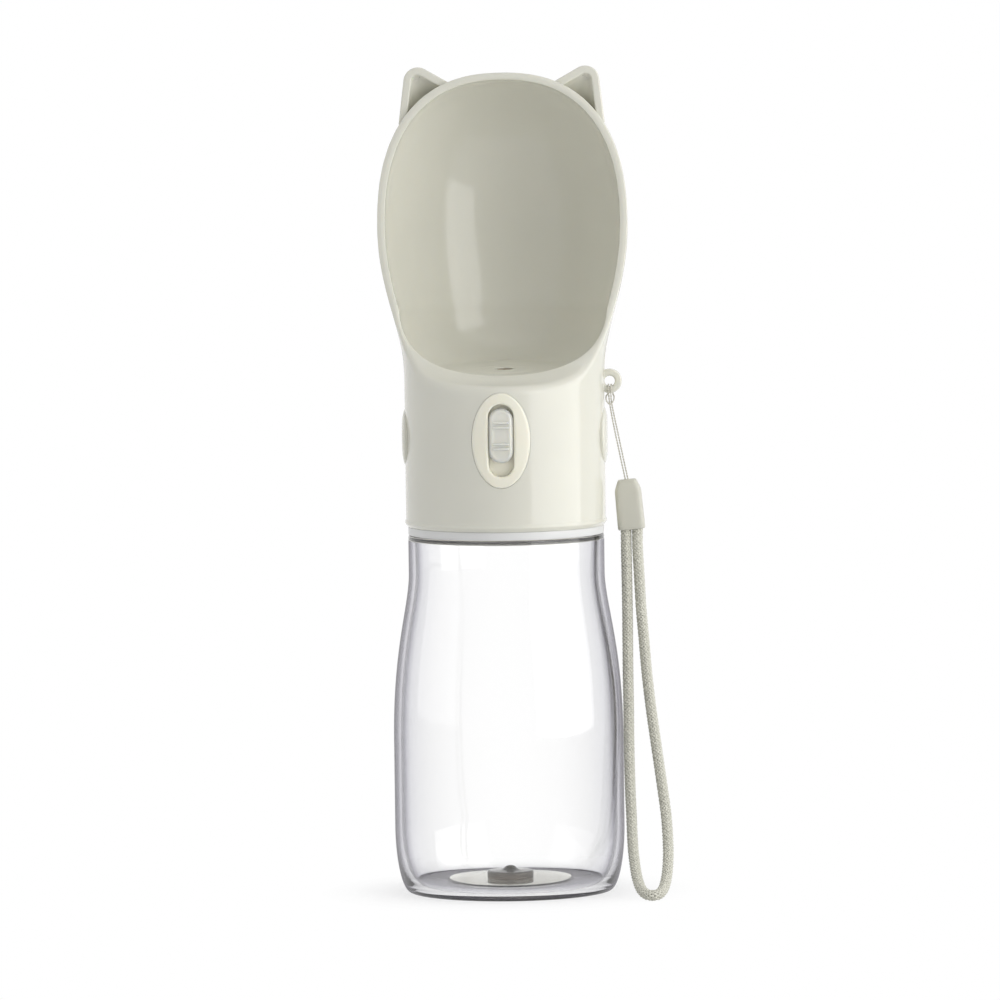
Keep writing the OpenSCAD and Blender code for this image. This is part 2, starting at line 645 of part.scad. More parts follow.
/* Strap: its string is hitched through the eyelet, and the end of the cord's loop lies on the floor */
ferrule_top = [36.4, 0, 123.5];
ferrule_foot = [37.7, 0, 108.5];
string_points = [
    [36, 0, 123.2], [35, -0.2, 128], [34, -0.5, 133], [33, -0.9, 138], [32.1, -1.4, 143], [31.5, -1.8, 147],
    [31.3, -1.85, 149.5], [31.2, -1.75, 151], [31.2, -1.5, 151.75], [31.2, -0.9, 151.95],
    [31.2, 0.9, 151.95], [31.15, 1.5, 151.75], [31.1, 1.75, 151], [31, 1.85, 149.6], [30.8, 1.5, 148.8],
    [30.6, 0.6, 148.6], [30.5, -0.6, 148.4], [30.5, -1.7, 147.8], [30.8, -2.4, 147],
    [31.2, -2.7, 146.5], [31.7, -2.8, 146.3], [32.2, -2.7, 146.5], [32.6, -2.4, 147],
    [32.9, -1.7, 147.8], [32.9, -0.6, 148.4], [32.8, 0.6, 148.6], [32.6, 1.5, 148.8], [32.4, 1.85, 149.6],
    [32.2, 1.75, 151], [32.05, 1.5, 151.75], [32, 0.9, 151.95], [32, -0.9, 151.95],
    [32, -1.5, 151.75], [32, -1.75, 151], [32, -1.85, 149.5], [32.1, -1.8, 147], [32.8, -1.4, 143],
    [33.8, -0.9, 138], [34.8, -0.5, 133], [35.8, -0.2, 128], [36.8, 0, 123.2]];
cord_points = [
    [36, 0, 108.8], [36, -0.5, 103], [36.1, -1.5, 95], [36.2, -2.5, 85], [36.2, -3.5, 75],
    [36.2, -4.5, 65], [36.3, -5.5, 55], [36.3, -6.5, 46], [36.4, -7.5, 38], [36.6, -8.5, 30],
    [36.9, -10, 23], [37.2, -13, 16], [37.8, -17.5, 10.5], [38.7, -22.5, 6], [40, -27, 3],
    [41.7, -30, 1.8], [43.5, -31.2, 1.6], [45.2, -30.2, 1.8], [46.6, -27, 3], [47.5, -22.5, 6],
    [47.9, -17.5, 10.5], [47.8, -13, 16], [47.3, -10, 23], [46.4, -8.5, 30], [45.3, -7.5, 38],
    [44.2, -6.5, 46], [43, -5.5, 55], [41.9, -4.5, 65], [41.1, -3.5, 75], [40.3, -2.5, 85],
    [39.8, -1.5, 95], [39.4, -0.5, 103], [39.4, 0, 108.8]];
module strap_string() color([0.8, 0.79, 0.74]) tube(string_points, string_r, 8, [0, 1, 0]);
module strap_cord() color([0.75, 0.74, 0.68]) tube(cord_points, cord_r, 8, [0, 1, 0]);
ferrule_len = norm(ferrule_foot - ferrule_top);
ferrule_lean = atan2(ferrule_foot.x - ferrule_top.x, ferrule_top.z - ferrule_foot.z);
corner_r = 0.8;
module ferrule_slice(w, z) translate([0, 0, z]) linear_extrude(0.01) offset(r = corner_r, $fn = 24)
    square([w - 2 * corner_r, ferrule_d - 2 * corner_r], center = true);
module strap_ferrule() color([0.74, 0.73, 0.69]) translate(ferrule_foot) rotate([0, -ferrule_lean, 0])
    hull() {
        ferrule_slice(ferrule_foot_w, 0);
        ferrule_slice(ferrule_foot_w - 0.8, ferrule_len - 3);
        ferrule_slice(ferrule_top_w, ferrule_len - 0.01);
    }

bottle();
neck_seal();
scoop_head();
inner_cap();
cap_gasket();
button_bezel();
slide_carrier();
carrier_bridge();
push_key();
key_spring();
valve_body();
valve_stem();
valve_seal();
stem_seal();
valve_spring();
spring_cap();
plug_seal();
inlet_seal();
outlet_seal();
valve_screws();
strap_string();
strap_ferrule();
strap_cord();
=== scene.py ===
import bpy
import bmesh
import math
from mathutils import Matrix, Vector


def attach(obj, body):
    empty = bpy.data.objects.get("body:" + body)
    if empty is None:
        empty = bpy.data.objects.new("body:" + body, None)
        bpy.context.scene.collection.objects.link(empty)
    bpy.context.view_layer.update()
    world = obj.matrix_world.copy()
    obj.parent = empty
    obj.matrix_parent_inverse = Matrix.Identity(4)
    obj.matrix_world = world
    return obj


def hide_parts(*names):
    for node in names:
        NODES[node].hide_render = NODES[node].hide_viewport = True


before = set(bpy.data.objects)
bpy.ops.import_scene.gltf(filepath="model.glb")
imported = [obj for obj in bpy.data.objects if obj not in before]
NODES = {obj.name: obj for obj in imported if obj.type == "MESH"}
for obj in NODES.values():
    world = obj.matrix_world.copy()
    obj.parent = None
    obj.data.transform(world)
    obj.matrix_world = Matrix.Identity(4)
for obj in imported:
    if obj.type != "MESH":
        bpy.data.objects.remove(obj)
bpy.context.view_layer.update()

bpy.context.scene.view_settings.view_transform = "Standard"
MM = 0.001

# Sizes that the pieces share with the CAD model, in millimetres
SKIRT_R = 30.0
SKIRT_WALL = 2.0
HEAD_Z = 108.5
FLARE_Z = HEAD_Z + 49.5
FLARE_H = 42.0
FLARE_LEAD = 0.8
WIDE_Z = FLARE_Z + FLARE_H
SCOOP_R = 37.5
SCOOP_WALL = 2.2
DOME_H = 45.8
DOME_POWER = 2.4
FLOOR_Z = HEAD_Z + 48.2
FLOOR_TILT = math.radians(4.4)
FLOOR_ROUND = 20.0
FLOOR_LOW_Z = FLOOR_Z - 1.8
ROOM_TOP_Z = HEAD_Z + 42.9
ROOM_R = 28.0
DRAIN_R = 2.5
DRAIN_Y = 3.5
LIP_Z = HEAD_Z + 44.9
SWEEP_R = 27.5
LEAN = math.radians(7)
SWEEP_Y = -(SKIRT_R + 1)
SWEEP_Z = LIP_Z + SWEEP_R
TURN_Y = SWEEP_Y + SWEEP_R * math.cos(LEAN)
TURN_Z = SWEEP_Z - SWEEP_R * math.sin(LEAN)
BEZEL_Z = HEAD_Z + 28.9
PAD_Z = HEAD_Z + 28.4
KEY_Z = BEZEL_Z + 10.8 - 1.4 - 7.95
WAIST_R = 29.4
SHOULDER_Z = 107.6
SKIRT_Z = HEAD_Z + 1.6


# ---------------------------------------------------------------- mesh helpers

def make(name, verts, faces, material, body, smooth=True, sharp=None):
    """One mesh object from vertices in millimetres."""
    me = bpy.data.meshes.new(name)
    me.from_pydata([tuple(c * MM for c in v) for v in verts], [], faces)
    me.update()
    ob = bpy.data.objects.new(name, me)
    bpy.context.scene.collection.objects.link(ob)
    tidy_mesh(me)
    me.materials.append(material)
    shade(me, smooth, sharp)
    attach(ob, body)
    return ob


def tidy_mesh(me, dist=1e-6):
    bm = bmesh.new()
    bm.from_mesh(me)
    bmesh.ops.remove_doubles(bm, verts=bm.verts, dist=dist)
    bmesh.ops.recalc_face_normals(bm, faces=bm.faces)
    bm.to_mesh(me)
    bm.free()


def shade(me, smooth=True, sharp=None):
    for p in me.polygons:
        p.use_smooth = smooth
    if sharp is not None:
        bm = bmesh.new()
        bm.from_mesh(me)
        limit = math.radians(sharp)
        for e in bm.edges:
            e.smooth = not (len(e.link_faces) == 2 and e.calc_face_angle(0) > limit)
        bm.to_mesh(me)
        bm.free()


def grid(rows, cols, wrap_rows=False, wrap_cols=True):
    """Quads over rows x cols vertices stored row by row."""
    faces = []
    for i in range(rows if wrap_rows else rows - 1):
        for k in range(cols if wrap_cols else cols - 1):
            a = i * cols + k
            b = i * cols + (k + 1) % cols
            c = (i + 1) % rows * cols + (k + 1) % cols
            d = (i + 1) % rows * cols + k
            faces.append((a, b, c, d))
    return faces


def lathe(profile, sides=192, closed=False):
    """Vertices and faces of a turned form about Z from (radius, z) points."""
    verts = []
    for r, z in profile:
        for k in range(sides):
            a = 2 * math.pi * k / sides
            verts.append((r * math.cos(a), r * math.sin(a), z))
    return verts, grid(len(profile), sides, wrap_rows=closed)


def bezier2(a, b, c, t):
    return tuple((1 - t) ** 2 * p + 2 * t * (1 - t) * q + t * t * r for p, q, r in zip(a, b, c))


def mix(a, b, t):
    return tuple(p + (q - p) * t for p, q in zip(a, b))


def dist(a, b):
    return math.sqrt(sum((p - q) ** 2 for p, q in zip(a, b)))


def walk(points):
    """Running lengths of a polyline."""
    run = [0.0]
    for a, b in zip(points, points[1:]):
        run.append(run[-1] + dist(a, b))
    return run


# ------------------------------------------------------------------- materials

def nodes_of(name):
    mat = bpy.data.materials.new(name)
    mat.use_nodes = True
    nt = mat.node_tree
    bsdf = nt.nodes["Principled BSDF"]
    return mat, nt, bsdf


def coords(nt, scale):
    tc = nt.nodes.new("ShaderNodeTexCoord")
    mp = nt.nodes.new("ShaderNodeMapping")
    mp.inputs["Scale"].default_value = scale if hasattr(scale, "__len__") else (scale,) * 3
    nt.links.new(tc.outputs["Object"], mp.inputs["Vector"])
    return mp.outputs["Vector"]


def noise(nt, vec, scale, detail=2.0):
    n = nt.nodes.new("ShaderNodeTexNoise")
    n.inputs["Scale"].default_value = scale
    n.inputs["Detail"].default_value = detail
    nt.links.new(vec, n.inputs["Vector"])
    return n.outputs["Fac"]


def ramp(nt, fac, stops):
    r = nt.nodes.new("ShaderNodeValToRGB")
    els = r.color_ramp.elements
    while len(els) < len(stops):
        els.new(0.5)
    for e, (p, c) in zip(els, stops):
        e.position = p
        e.color = (*c, 1) if hasattr(c, "__len__") else (c, c, c, 1)
    nt.links.new(fac, r.inputs["Fac"])
    return r.outputs["Color"]


def remap(nt, fac, lo, hi, start=0.0, end=1.0):
    m = nt.nodes.new("ShaderNodeMapRange")
    m.inputs["From Min"].default_value = start
    m.inputs["From Max"].default_value = end
    m.inputs["To Min"].default_value = lo
    m.inputs["To Max"].default_value = hi
    nt.links.new(fac, m.inputs["Value"])
    return m.outputs["Result"]


def bump(nt, bsdf, height, strength, distance):
    b = nt.nodes.new("ShaderNodeBump")
    b.inputs["Strength"].default_value = strength
    b.inputs["Distance"].default_value = distance
    nt.links.new(height, b.inputs["Height"])
    nt.links.new(b.outputs["Normal"], bsdf.inputs["Normal"])


def moulded(name, color, rough=0.25, soft=0.0, ior=1.5, reach=0.0015):
    """Injection-moulded plastic: faint colour flow, uneven gloss and a fine skin."""
    mat, nt, bsdf = nodes_of(name)
    vec = coords(nt, 1.0)
    flow = noise(nt, vec, 22.0, 3.0)
    spread = 0.03
    lo = tuple(c * (1 - spread) for c in color)
    hi = tuple(min(1.0, c * (1 + spread)) for c in color)
    nt.links.new(ramp(nt, flow, [(0.3, lo), (0.7, hi)]), bsdf.inputs["Base Color"])
    nt.links.new(remap(nt, noise(nt, vec, 140.0, 4.0), rough * 0.85, rough * 1.15),
                 bsdf.inputs["Roughness"])
    bump(nt, bsdf, noise(nt, vec, 900.0, 3.0), 0.25, 0.000012)
    bsdf.inputs["IOR"].default_value = ior
    if soft:
        bsdf.inputs["Subsurface Weight"].default_value = soft
        bsdf.inputs["Subsurface Radius"].default_value = (1.0, 0.85, 0.6)
        bsdf.inputs["Subsurface Scale"].default_value = reach
    return mat


def clear(name, stops, rough=0.0, ior=1.55, painted_outline_shade=None):
    """Clear plastic with painted shade: its colour darkens where its wall is seen edge on."""
    mat, nt, bsdf = nodes_of(name)
    lw = nt.nodes.new("ShaderNodeLayerWeight")
    lw.inputs["Blend"].default_value = 0.5
    nt.links.new(ramp(nt, lw.outputs["Facing"], stops), bsdf.inputs["Base Color"])
    vec = coords(nt, 1.0)
    bump(nt, bsdf, noise(nt, vec, 30.0, 1.0), 0.08, 0.0004)
    bsdf.inputs["Transmission Weight"].default_value = 1.0
    bsdf.inputs["Roughness"].default_value = rough
    bsdf.inputs["IOR"].default_value = ior
    bsdf.inputs["Specular IOR Level"].default_value = 0.15
    if painted_outline_shade:
        # A dark surface mixed in at the very edge is painted shade, standing in for the light lost along the
        # wall there
        dark = nt.nodes.new("ShaderNodeBsdfDiffuse")
        dark.inputs["Color"].default_value = (*painted_outline_shade, 1)
        blend = nt.nodes.new("ShaderNodeMixShader")
        nt.links.new(remap(nt, lw.outputs["Facing"], 0.0, 0.62, 0.70, 0.86), blend.inputs["Fac"])
        nt.links.new(bsdf.outputs[0], blend.inputs[1])
        nt.links.new(dark.outputs[0], blend.inputs[2])
        nt.links.new(blend.outputs[0], nt.nodes["Material Output"].inputs["Surface"])
    return mat


def rubber(name, color, rough=0.45, trans=0.0):
    mat, nt, bsdf = nodes_of(name)
    vec = coords(nt, 1.0)
    nt.links.new(ramp(nt, noise(nt, vec, 60.0, 2.0),
                      [(0.3, tuple(c * 0.93 for c in color)), (0.7, color)]),
                 bsdf.inputs["Base Color"])
    bump(nt, bsdf, noise(nt, vec, 1500.0, 2.0), 0.3, 0.00002)
    bsdf.inputs["Roughness"].default_value = rough
    bsdf.inputs["Transmission Weight"].default_value = trans
    bsdf.inputs["IOR"].default_value = 1.41
    return mat


def metal(name, color, rough=0.3):
    mat, nt, bsdf = nodes_of(name)
    vec = coords(nt, (1.0, 8.0, 8.0))
    nt.links.new(remap(nt, noise(nt, vec, 400.0, 3.0), rough * 0.7, rough * 1.3),
                 bsdf.inputs["Roughness"])
    nt.links.new(ramp(nt, noise(nt, vec, 60.0, 2.0),
                      [(0.2, tuple(c * 0.85 for c in color)), (0.8, color)]),
                 bsdf.inputs["Base Color"])
    bump(nt, bsdf, noise(nt, vec, 900.0, 2.0), 0.2, 0.00001)
    bsdf.inputs["Metallic"].default_value = 1.0
    return mat


def fibre(name, color, dark, scale):
    mat, nt, bsdf = nodes_of(name)
    vec = coords(nt, 1.0)
    nt.links.new(ramp(nt, noise(nt, vec, scale, 3.0), [(0.25, dark), (0.6, color)]),
                 bsdf.inputs["Base Color"])
    bump(nt, bsdf, noise(nt, vec, scale * 2.5, 3.0), 0.5, 0.00005)
    bsdf.inputs["Roughness"].default_value = 0.62
    bsdf.inputs["Sheen Weight"].default_value = 0.25
    bsdf.inputs["Sheen Roughness"].default_value = 0.5
    return mat


SHELL = moulded("shell_plastic", (0.71, 0.70, 0.61), rough=0.125, soft=0.12, ior=1.5)
IVORY = moulded("ivory_plastic", (0.87, 0.845, 0.715), rough=0.3, soft=0.3)
# Painted light: a lighter, warmer copy of the ivory for the slide carrier, so the slot floor stays bright
# against the shade inside the slot
CREAM_PAINTED_LIGHT = moulded("cream_painted_light", (0.96, 0.925, 0.79), rough=0.4, soft=0.2, reach=0.003)
KEY = moulded("key_plastic", (0.76, 0.75, 0.67), rough=0.16, soft=0.5, reach=0.002)
WHITE = moulded("inner_plastic", (0.78, 0.78, 0.76), rough=0.4)
VALVE = moulded("valve_plastic", (0.74, 0.74, 0.75), rough=0.35)
FERRULE = moulded("ferrule_plastic", (0.56, 0.55, 0.47), rough=0.3, soft=0.05)
# Painted shade for the clear plastic: white where the wall faces the view, turning purple-grey and near black
# where it is seen edge on
EDGE_PAINTED_SHADE = [(0.0, (1.0, 1.0, 1.0)), (0.1, (0.985, 0.985, 0.985)), (0.29, (0.91, 0.91, 0.915)),
        (0.47, (0.82, 0.82, 0.84)), (0.6, (0.68, 0.68, 0.72)), (0.67, (0.38, 0.37, 0.43)),
        (0.74, (0.09, 0.085, 0.115)), (1.0, (0.01, 0.008, 0.015))]
CLEAR = clear("clear_plastic", EDGE_PAINTED_SHADE, 0.035, 1.5, painted_outline_shade=(0.22, 0.21, 0.24))
# Painted shade: the gate boss's dark brown stands in for the shaded table seen through the floor
GATE_PAINTED_SHADE = clear("gate_painted_shade", [(0.0, (0.16, 0.13, 0.10)), (0.5, (0.10, 0.08, 0.06)),
                              (1.0, (0.04, 0.032, 0.025))], 0.12)
# Painted shade: an olive-grey tint, darker towards grazing views, for the shaded table seen through the middle
# of the floor and for the shoulder's top under the seal
DISC_PAINTED_SHADE = clear("disc_painted_shade", [(0.0, (0.84, 0.83, 0.76)), (0.8, (0.58, 0.565, 0.48)),
                              (1.0, (0.44, 0.425, 0.36))])
MILKY = rubber("milky_silicone", (0.84, 0.84, 0.82), 0.35, 0.12)
DARK = rubber("dark_rubber", (0.03, 0.03, 0.032), 0.5)
STEEL = metal("spring_steel", (0.62, 0.62, 0.63), 0.28)
BRAID = fibre("braided_polyester", (0.66, 0.65, 0.56), (0.54, 0.53, 0.45), 1800.0)
# Painted shade: the near-black core shows through the braid's gaps as the shade between its yarns
CORE_PAINTED_SHADE = fibre("cord_core_painted_shade", (0.14, 0.13, 0.10), (0.09, 0.085, 0.065), 1500.0)
# Painted shade: a dark brown on the drain hole's walls stands in for the shade down the hole
DRAIN_PAINTED_SHADE = moulded("drain_bore_painted_shade", (0.33, 0.26, 0.18), rough=0.5)
THREAD = fibre("string_thread", (0.62, 0.60, 0.53), (0.46, 0.44, 0.37), 5000.0)


# --------------------------------------------------------------------- camera

def look(target, azimuth, elevation, distance, lens, roll):
    a, e = math.radians(azimuth), math.radians(elevation)
    back = Vector((math.sin(a) * math.cos(e), -math.cos(a) * math.cos(e), math.sin(e)))
    cam = bpy.data.objects.new("camera", bpy.data.cameras.new("camera"))
    bpy.context.scene.collection.objects.link(cam)
    cam.data.sensor_width = 36.0
    cam.data.lens = lens
    cam.data.clip_start = 0.1
    cam.data.clip_end = 50.0
    turn = (-back).to_track_quat("-Z", "Y").to_matrix() @ Matrix.Rotation(math.radians(roll), 3, "Z")
    cam.matrix_world = Matrix.Translation(Vector(target) + back * distance) @ turn.to_4x4()
    bpy.context.scene.camera = cam


DISTANCE = 2.737
SEEN_WIDTH = 0.300
look((-0.00174, 0.0, 0.1176), 2.4, 4.24, DISTANCE, 36.0 * DISTANCE / SEEN_WIDTH, -0.732)


# ------------------------------------------------------------ cord and string

def smooth_route(points, step):
    """Catmull-Rom points about one step apart through a route, in millimetres."""
    out = []
    n = len(points)
    for i in range(n - 1):
        p0 = points[max(i - 1, 0)]
        p1, p2 = points[i], points[i + 1]
        p3 = points[min(i + 2, n - 1)]
        k = max(1, int(round(dist(p1, p2) / step)))
        for j in range(k):
            t = j / k
            out.append(tuple(0.5 * (2 * b + (c - a) * t + (2 * a - 5 * b + 4 * c - d) * t * t
                                    + (3 * b - a - 3 * c + d) * t ** 3)
                             for a, b, c, d in zip(p0, p1, p2, p3)))
    out.append(tuple(points[-1]))
    return out


def frames(path, start):
    """Tangent and two unturned side directions at each point of a path."""
    pts = [Vector(p) for p in path]
    out = []
    u = Vector(start)
    for i, p in enumerate(pts):
        t = (pts[min(i + 1, len(pts) - 1)] - pts[max(i - 1, 0)]).normalized()
        u = (u - t * u.dot(t)).normalized()
        out.append((p, t, u, t.cross(u)))
    return out


def sweep(path, radius, sides, start):
    """Vertices and faces of a round tube along a path, ends closed."""
    verts = []
    for p, t, u, v in frames(path, start):
        for k in range(sides):
            a = 2 * math.pi * k / sides
            verts.append(tuple(p + radius * (math.cos(a) * u + math.sin(a) * v)))
    faces = grid(len(path), sides)
    faces.append(tuple(reversed(range(sides))))
    faces.append(tuple(range(len(verts) - sides, len(verts))))
    return verts, faces


CORD_ROUTE = [
    (36, 0, 108.8), (36, -0.5, 103), (36.1, -1.5, 95), (36.2, -2.5, 85), (36.2, -3.5, 75),
    (36.2, -4.5, 65), (36.3, -5.5, 55), (36.3, -6.5, 46), (36.4, -7.5, 38), (36.6, -8.5, 30),
    (36.9, -10, 23), (37.2, -13, 16), (37.8, -17.5, 10.5), (38.7, -22.5, 6), (40, -27, 3),
    (41.7, -30, 1.8), (43.5, -31.2, 1.6), (45.2, -30.2, 1.8), (46.6, -27, 3), (47.5, -22.5, 6),
    (47.9, -17.5, 10.5), (47.8, -13, 16), (47.3, -10, 23), (46.4, -8.5, 30), (45.3, -7.5, 38),
    (44.2, -6.5, 46), (43, -5.5, 55), (41.9, -4.5, 65), (41.1, -3.5, 75), (40.3, -2.5, 85),
    (39.8, -1.5, 95), (39.4, -0.5, 103), (39.4, 0, 108.8)]
STRING_ROUTE = [
    (36, 0, 123.2), (35, -0.2, 128), (34, -0.5, 133), (33, -0.9, 138), (32.1, -1.4, 143),
    (31.5, -1.8, 147), (31.3, -1.85, 149.5), (31.2, -1.75, 151), (31.2, -1.5, 151.75),
    (31.2, -0.9, 151.95), (31.2, 0.9, 151.95), (31.15, 1.5, 151.75), (31.1, 1.75, 151),
    (31, 1.85, 149.6), (30.8, 1.5, 148.8), (30.6, 0.6, 148.6), (30.5, -0.6, 148.4),
    (30.5, -1.7, 147.8), (30.8, -2.4, 147), (31.2, -2.7, 146.5), (31.7, -2.8, 146.3),
    (32.2, -2.7, 146.5), (32.6, -2.4, 147), (32.9, -1.7, 147.8), (32.9, -0.6, 148.4),
    (32.8, 0.6, 148.6), (32.6, 1.5, 148.8), (32.4, 1.85, 149.6), (32.2, 1.75, 151),
    (32.05, 1.5, 151.75), (32, 0.9, 151.95), (32, -0.9, 151.95), (32, -1.5, 151.75),
    (32, -1.75, 151), (32, -1.85, 149.5), (32.1, -1.8, 147), (32.8, -1.4, 143),
    (33.8, -0.9, 138), (34.8, -0.5, 133), (35.8, -0.2, 128), (36.8, 0, 123.2)]


def braid(path, radius, carriers, pitch, width, thick):
    """A round braid: as many yarns each way, passing over and under each other."""
    fr = frames(path, (0, 1, 0))
    verts, faces = [], []
    run = walk(path)
    section = [(-0.5, 0.0), (-0.32, 0.42), (0.0, 0.55), (0.32, 0.42), (0.5, 0.0), (0.0, -0.3)]
    half = carriers // 2
    for way in (1, -1):
        for c in range(half):
            first = len(verts)
            for i, (p, t, u, v) in enumerate(fr):
                turn = way * 2 * math.pi * run[i] / pitch + 2 * math.pi * c / half
                weave = math.cos(half * 2 * math.pi * run[i] / pitch + math.pi * c
                                 + (0 if way == 1 else math.pi))
                r = radius - 0.5 * thick + 0.38 * thick * weave
                out = math.cos(turn) * u + math.sin(turn) * v
                side = -math.sin(turn) * u + math.cos(turn) * v
                lead = (t + side * (way * 2 * math.pi * r / pitch)).normalized()
                across = out.cross(lead).normalized()
                for s, h in section:
                    verts.append(tuple(p + out * (r + h * thick) + across * (s * width)))
            k = len(section)
            faces += [tuple(first + j for j in f) for f in grid(len(fr), k)]
            faces.append(tuple(first + j for j in reversed(range(k))))
            faces.append(tuple(first + (len(fr) - 1) * k + j for j in range(k)))
    return verts, faces


def build_cord():
    path = smooth_route(CORD_ROUTE, 0.24)
    coarse = path[::3] + [path[-1]]
    verts, faces = braid(path, 1.5, 16, 8.8, 0.72, 0.46)
    # A near-black core inside the braid, painted shade in the gaps between the yarns
    core_v, core_f = sweep(coarse, 1.12, 16, (0, 1, 0))
    core = make("strap_cord_core", core_v, core_f, CORE_PAINTED_SHADE, "head")
    cord = make("strap_cord_braid", verts, faces, BRAID, "head")
    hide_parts("strap_cord")
    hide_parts("strap_cord")


def build_string():
    path = smooth_route(STRING_ROUTE, 0.22)
    fr = frames(path, (0, 1, 0))
    verts, faces = [], []
    sides, lay, ply_offset, ply_r = 8, 1.7, 0.11, 0.14
    for ply in range(2):
        first = len(verts)
        run, last = 0.0, path[0]
        for p, t, u, v in fr:
            run += dist(last, p)
            last = p
            turn = 2 * math.pi * run / lay + math.pi * ply
            mid = p + ply_offset * (math.cos(turn) * u + math.sin(turn) * v)
            for k in range(sides):
                a = 2 * math.pi * k / sides
                verts.append(tuple(mid + ply_r * (math.cos(a) * u + math.sin(a) * v)))
        faces += [tuple(first + j for j in f) for f in grid(len(fr), sides)]
    string = make("strap_string_twist", verts, faces, THREAD, "head")
    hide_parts("strap_string")


build_cord()
build_string()


# ----------------------------------------------------------------- scoop shell

def scoop_radius(z):
    if z <= FLARE_Z:
        return SKIRT_R
    if z <= WIDE_Z:
        share = ((z - FLARE_Z) / FLARE_H) ** FLARE_LEAD
        return SKIRT_R + (SCOOP_R - SKIRT_R) * (1 - math.cos(math.pi * share)) / 2
    h = min(1.0, (z - WIDE_Z) / DOME_H)
    return SCOOP_R * max(0.0, 1 - h ** DOME_POWER) ** (1 / DOME_POWER)


def mouth_y(z):
    if z >= TURN_Z:
        return TURN_Y + (z - TURN_Z) * math.tan(LEAN)
    if z <= LIP_Z:
        return -1e3
    return SWEEP_Y + math.sqrt(max(0.0, SWEEP_R ** 2 - (z - SWEEP_Z) ** 2))


def to_mouth(y, z):
    """Nearest point of the mouth's side profile."""
    a = math.atan2(y - SWEEP_Y, SWEEP_Z - z)
    if a < math.pi / 2 - LEAN:
        return SWEEP_Y + SWEEP_R * math.sin(a), SWEEP_Z - SWEEP_R * math.cos(a)
    s = (y - TURN_Y) * math.sin(LEAN) + (z - TURN_Z) * math.cos(LEAN)
    return TURN_Y + s * math.sin(LEAN), TURN_Z + s * math.cos(LEAN)


def dome_points(r, h, steps):
    out = []
    for i in range(steps + 1):
        a = math.pi / 2 * i / steps
        out.append((r * math.cos(a) ** (2 / DOME_POWER), WIDE_Z + h * math.sin(a) ** (2 / DOME_POWER)))
    return out


WALL_Z = FLOOR_LOW_Z + FLOOR_ROUND
WALL_R = scoop_radius(WALL_Z) - SCOOP_WALL
OUT_PROFILE = ([(SKIRT_R, HEAD_Z + 4.0 + (FLARE_Z - HEAD_Z - 4.0) * i / 24) for i in range(24)]
               + [(scoop_radius(FLARE_Z + FLARE_H * i / 60), FLARE_Z + FLARE_H * i / 60) for i in range(60)]
               + dome_points(SCOOP_R, DOME_H, 70))
IN_PROFILE = (list(reversed(dome_points(SCOOP_R - SCOOP_WALL, DOME_H - SCOOP_WALL, 70)))
              + [(scoop_radius(z) - SCOOP_WALL, z)
                 for z in (WIDE_Z + (WALL_Z - WIDE_Z) * i / 50 for i in range(1, 50))]
              + [(WALL_R - FLOOR_ROUND * (1 - math.cos(a)), WALL_Z - FLOOR_ROUND * math.sin(a))
                 for a in (math.pi / 2 * i / 24 for i in range(25))]
              + [((WALL_R - FLOOR_ROUND) * (1 - i / 16), FLOOR_LOW_Z) for i in range(1, 17)])


def floor_height(y):
    return FLOOR_Z + y * math.tan(FLOOR_TILT)


def soft_max(a, b, k):
    h = max(k - abs(a - b), 0.0) / k
    return max(a, b) + h * h * k * 0.25


def at(points, run, s):
    s = min(max(s, 0.0), run[-1])
    lo, hi = 0, len(run) - 1
    while hi - lo > 1:
        mid = (lo + hi) // 2
        if run[mid] <= s:
            lo = mid
        else:
            hi = mid
    d = run[hi] - run[lo]
    t = 0.0 if d < 1e-9 else (s - run[lo]) / d
    return mix(points[lo], points[hi], t)


def ease(t):
    t = min(1.0, max(0.0, t))
    return t * t * (3 - 2 * t)


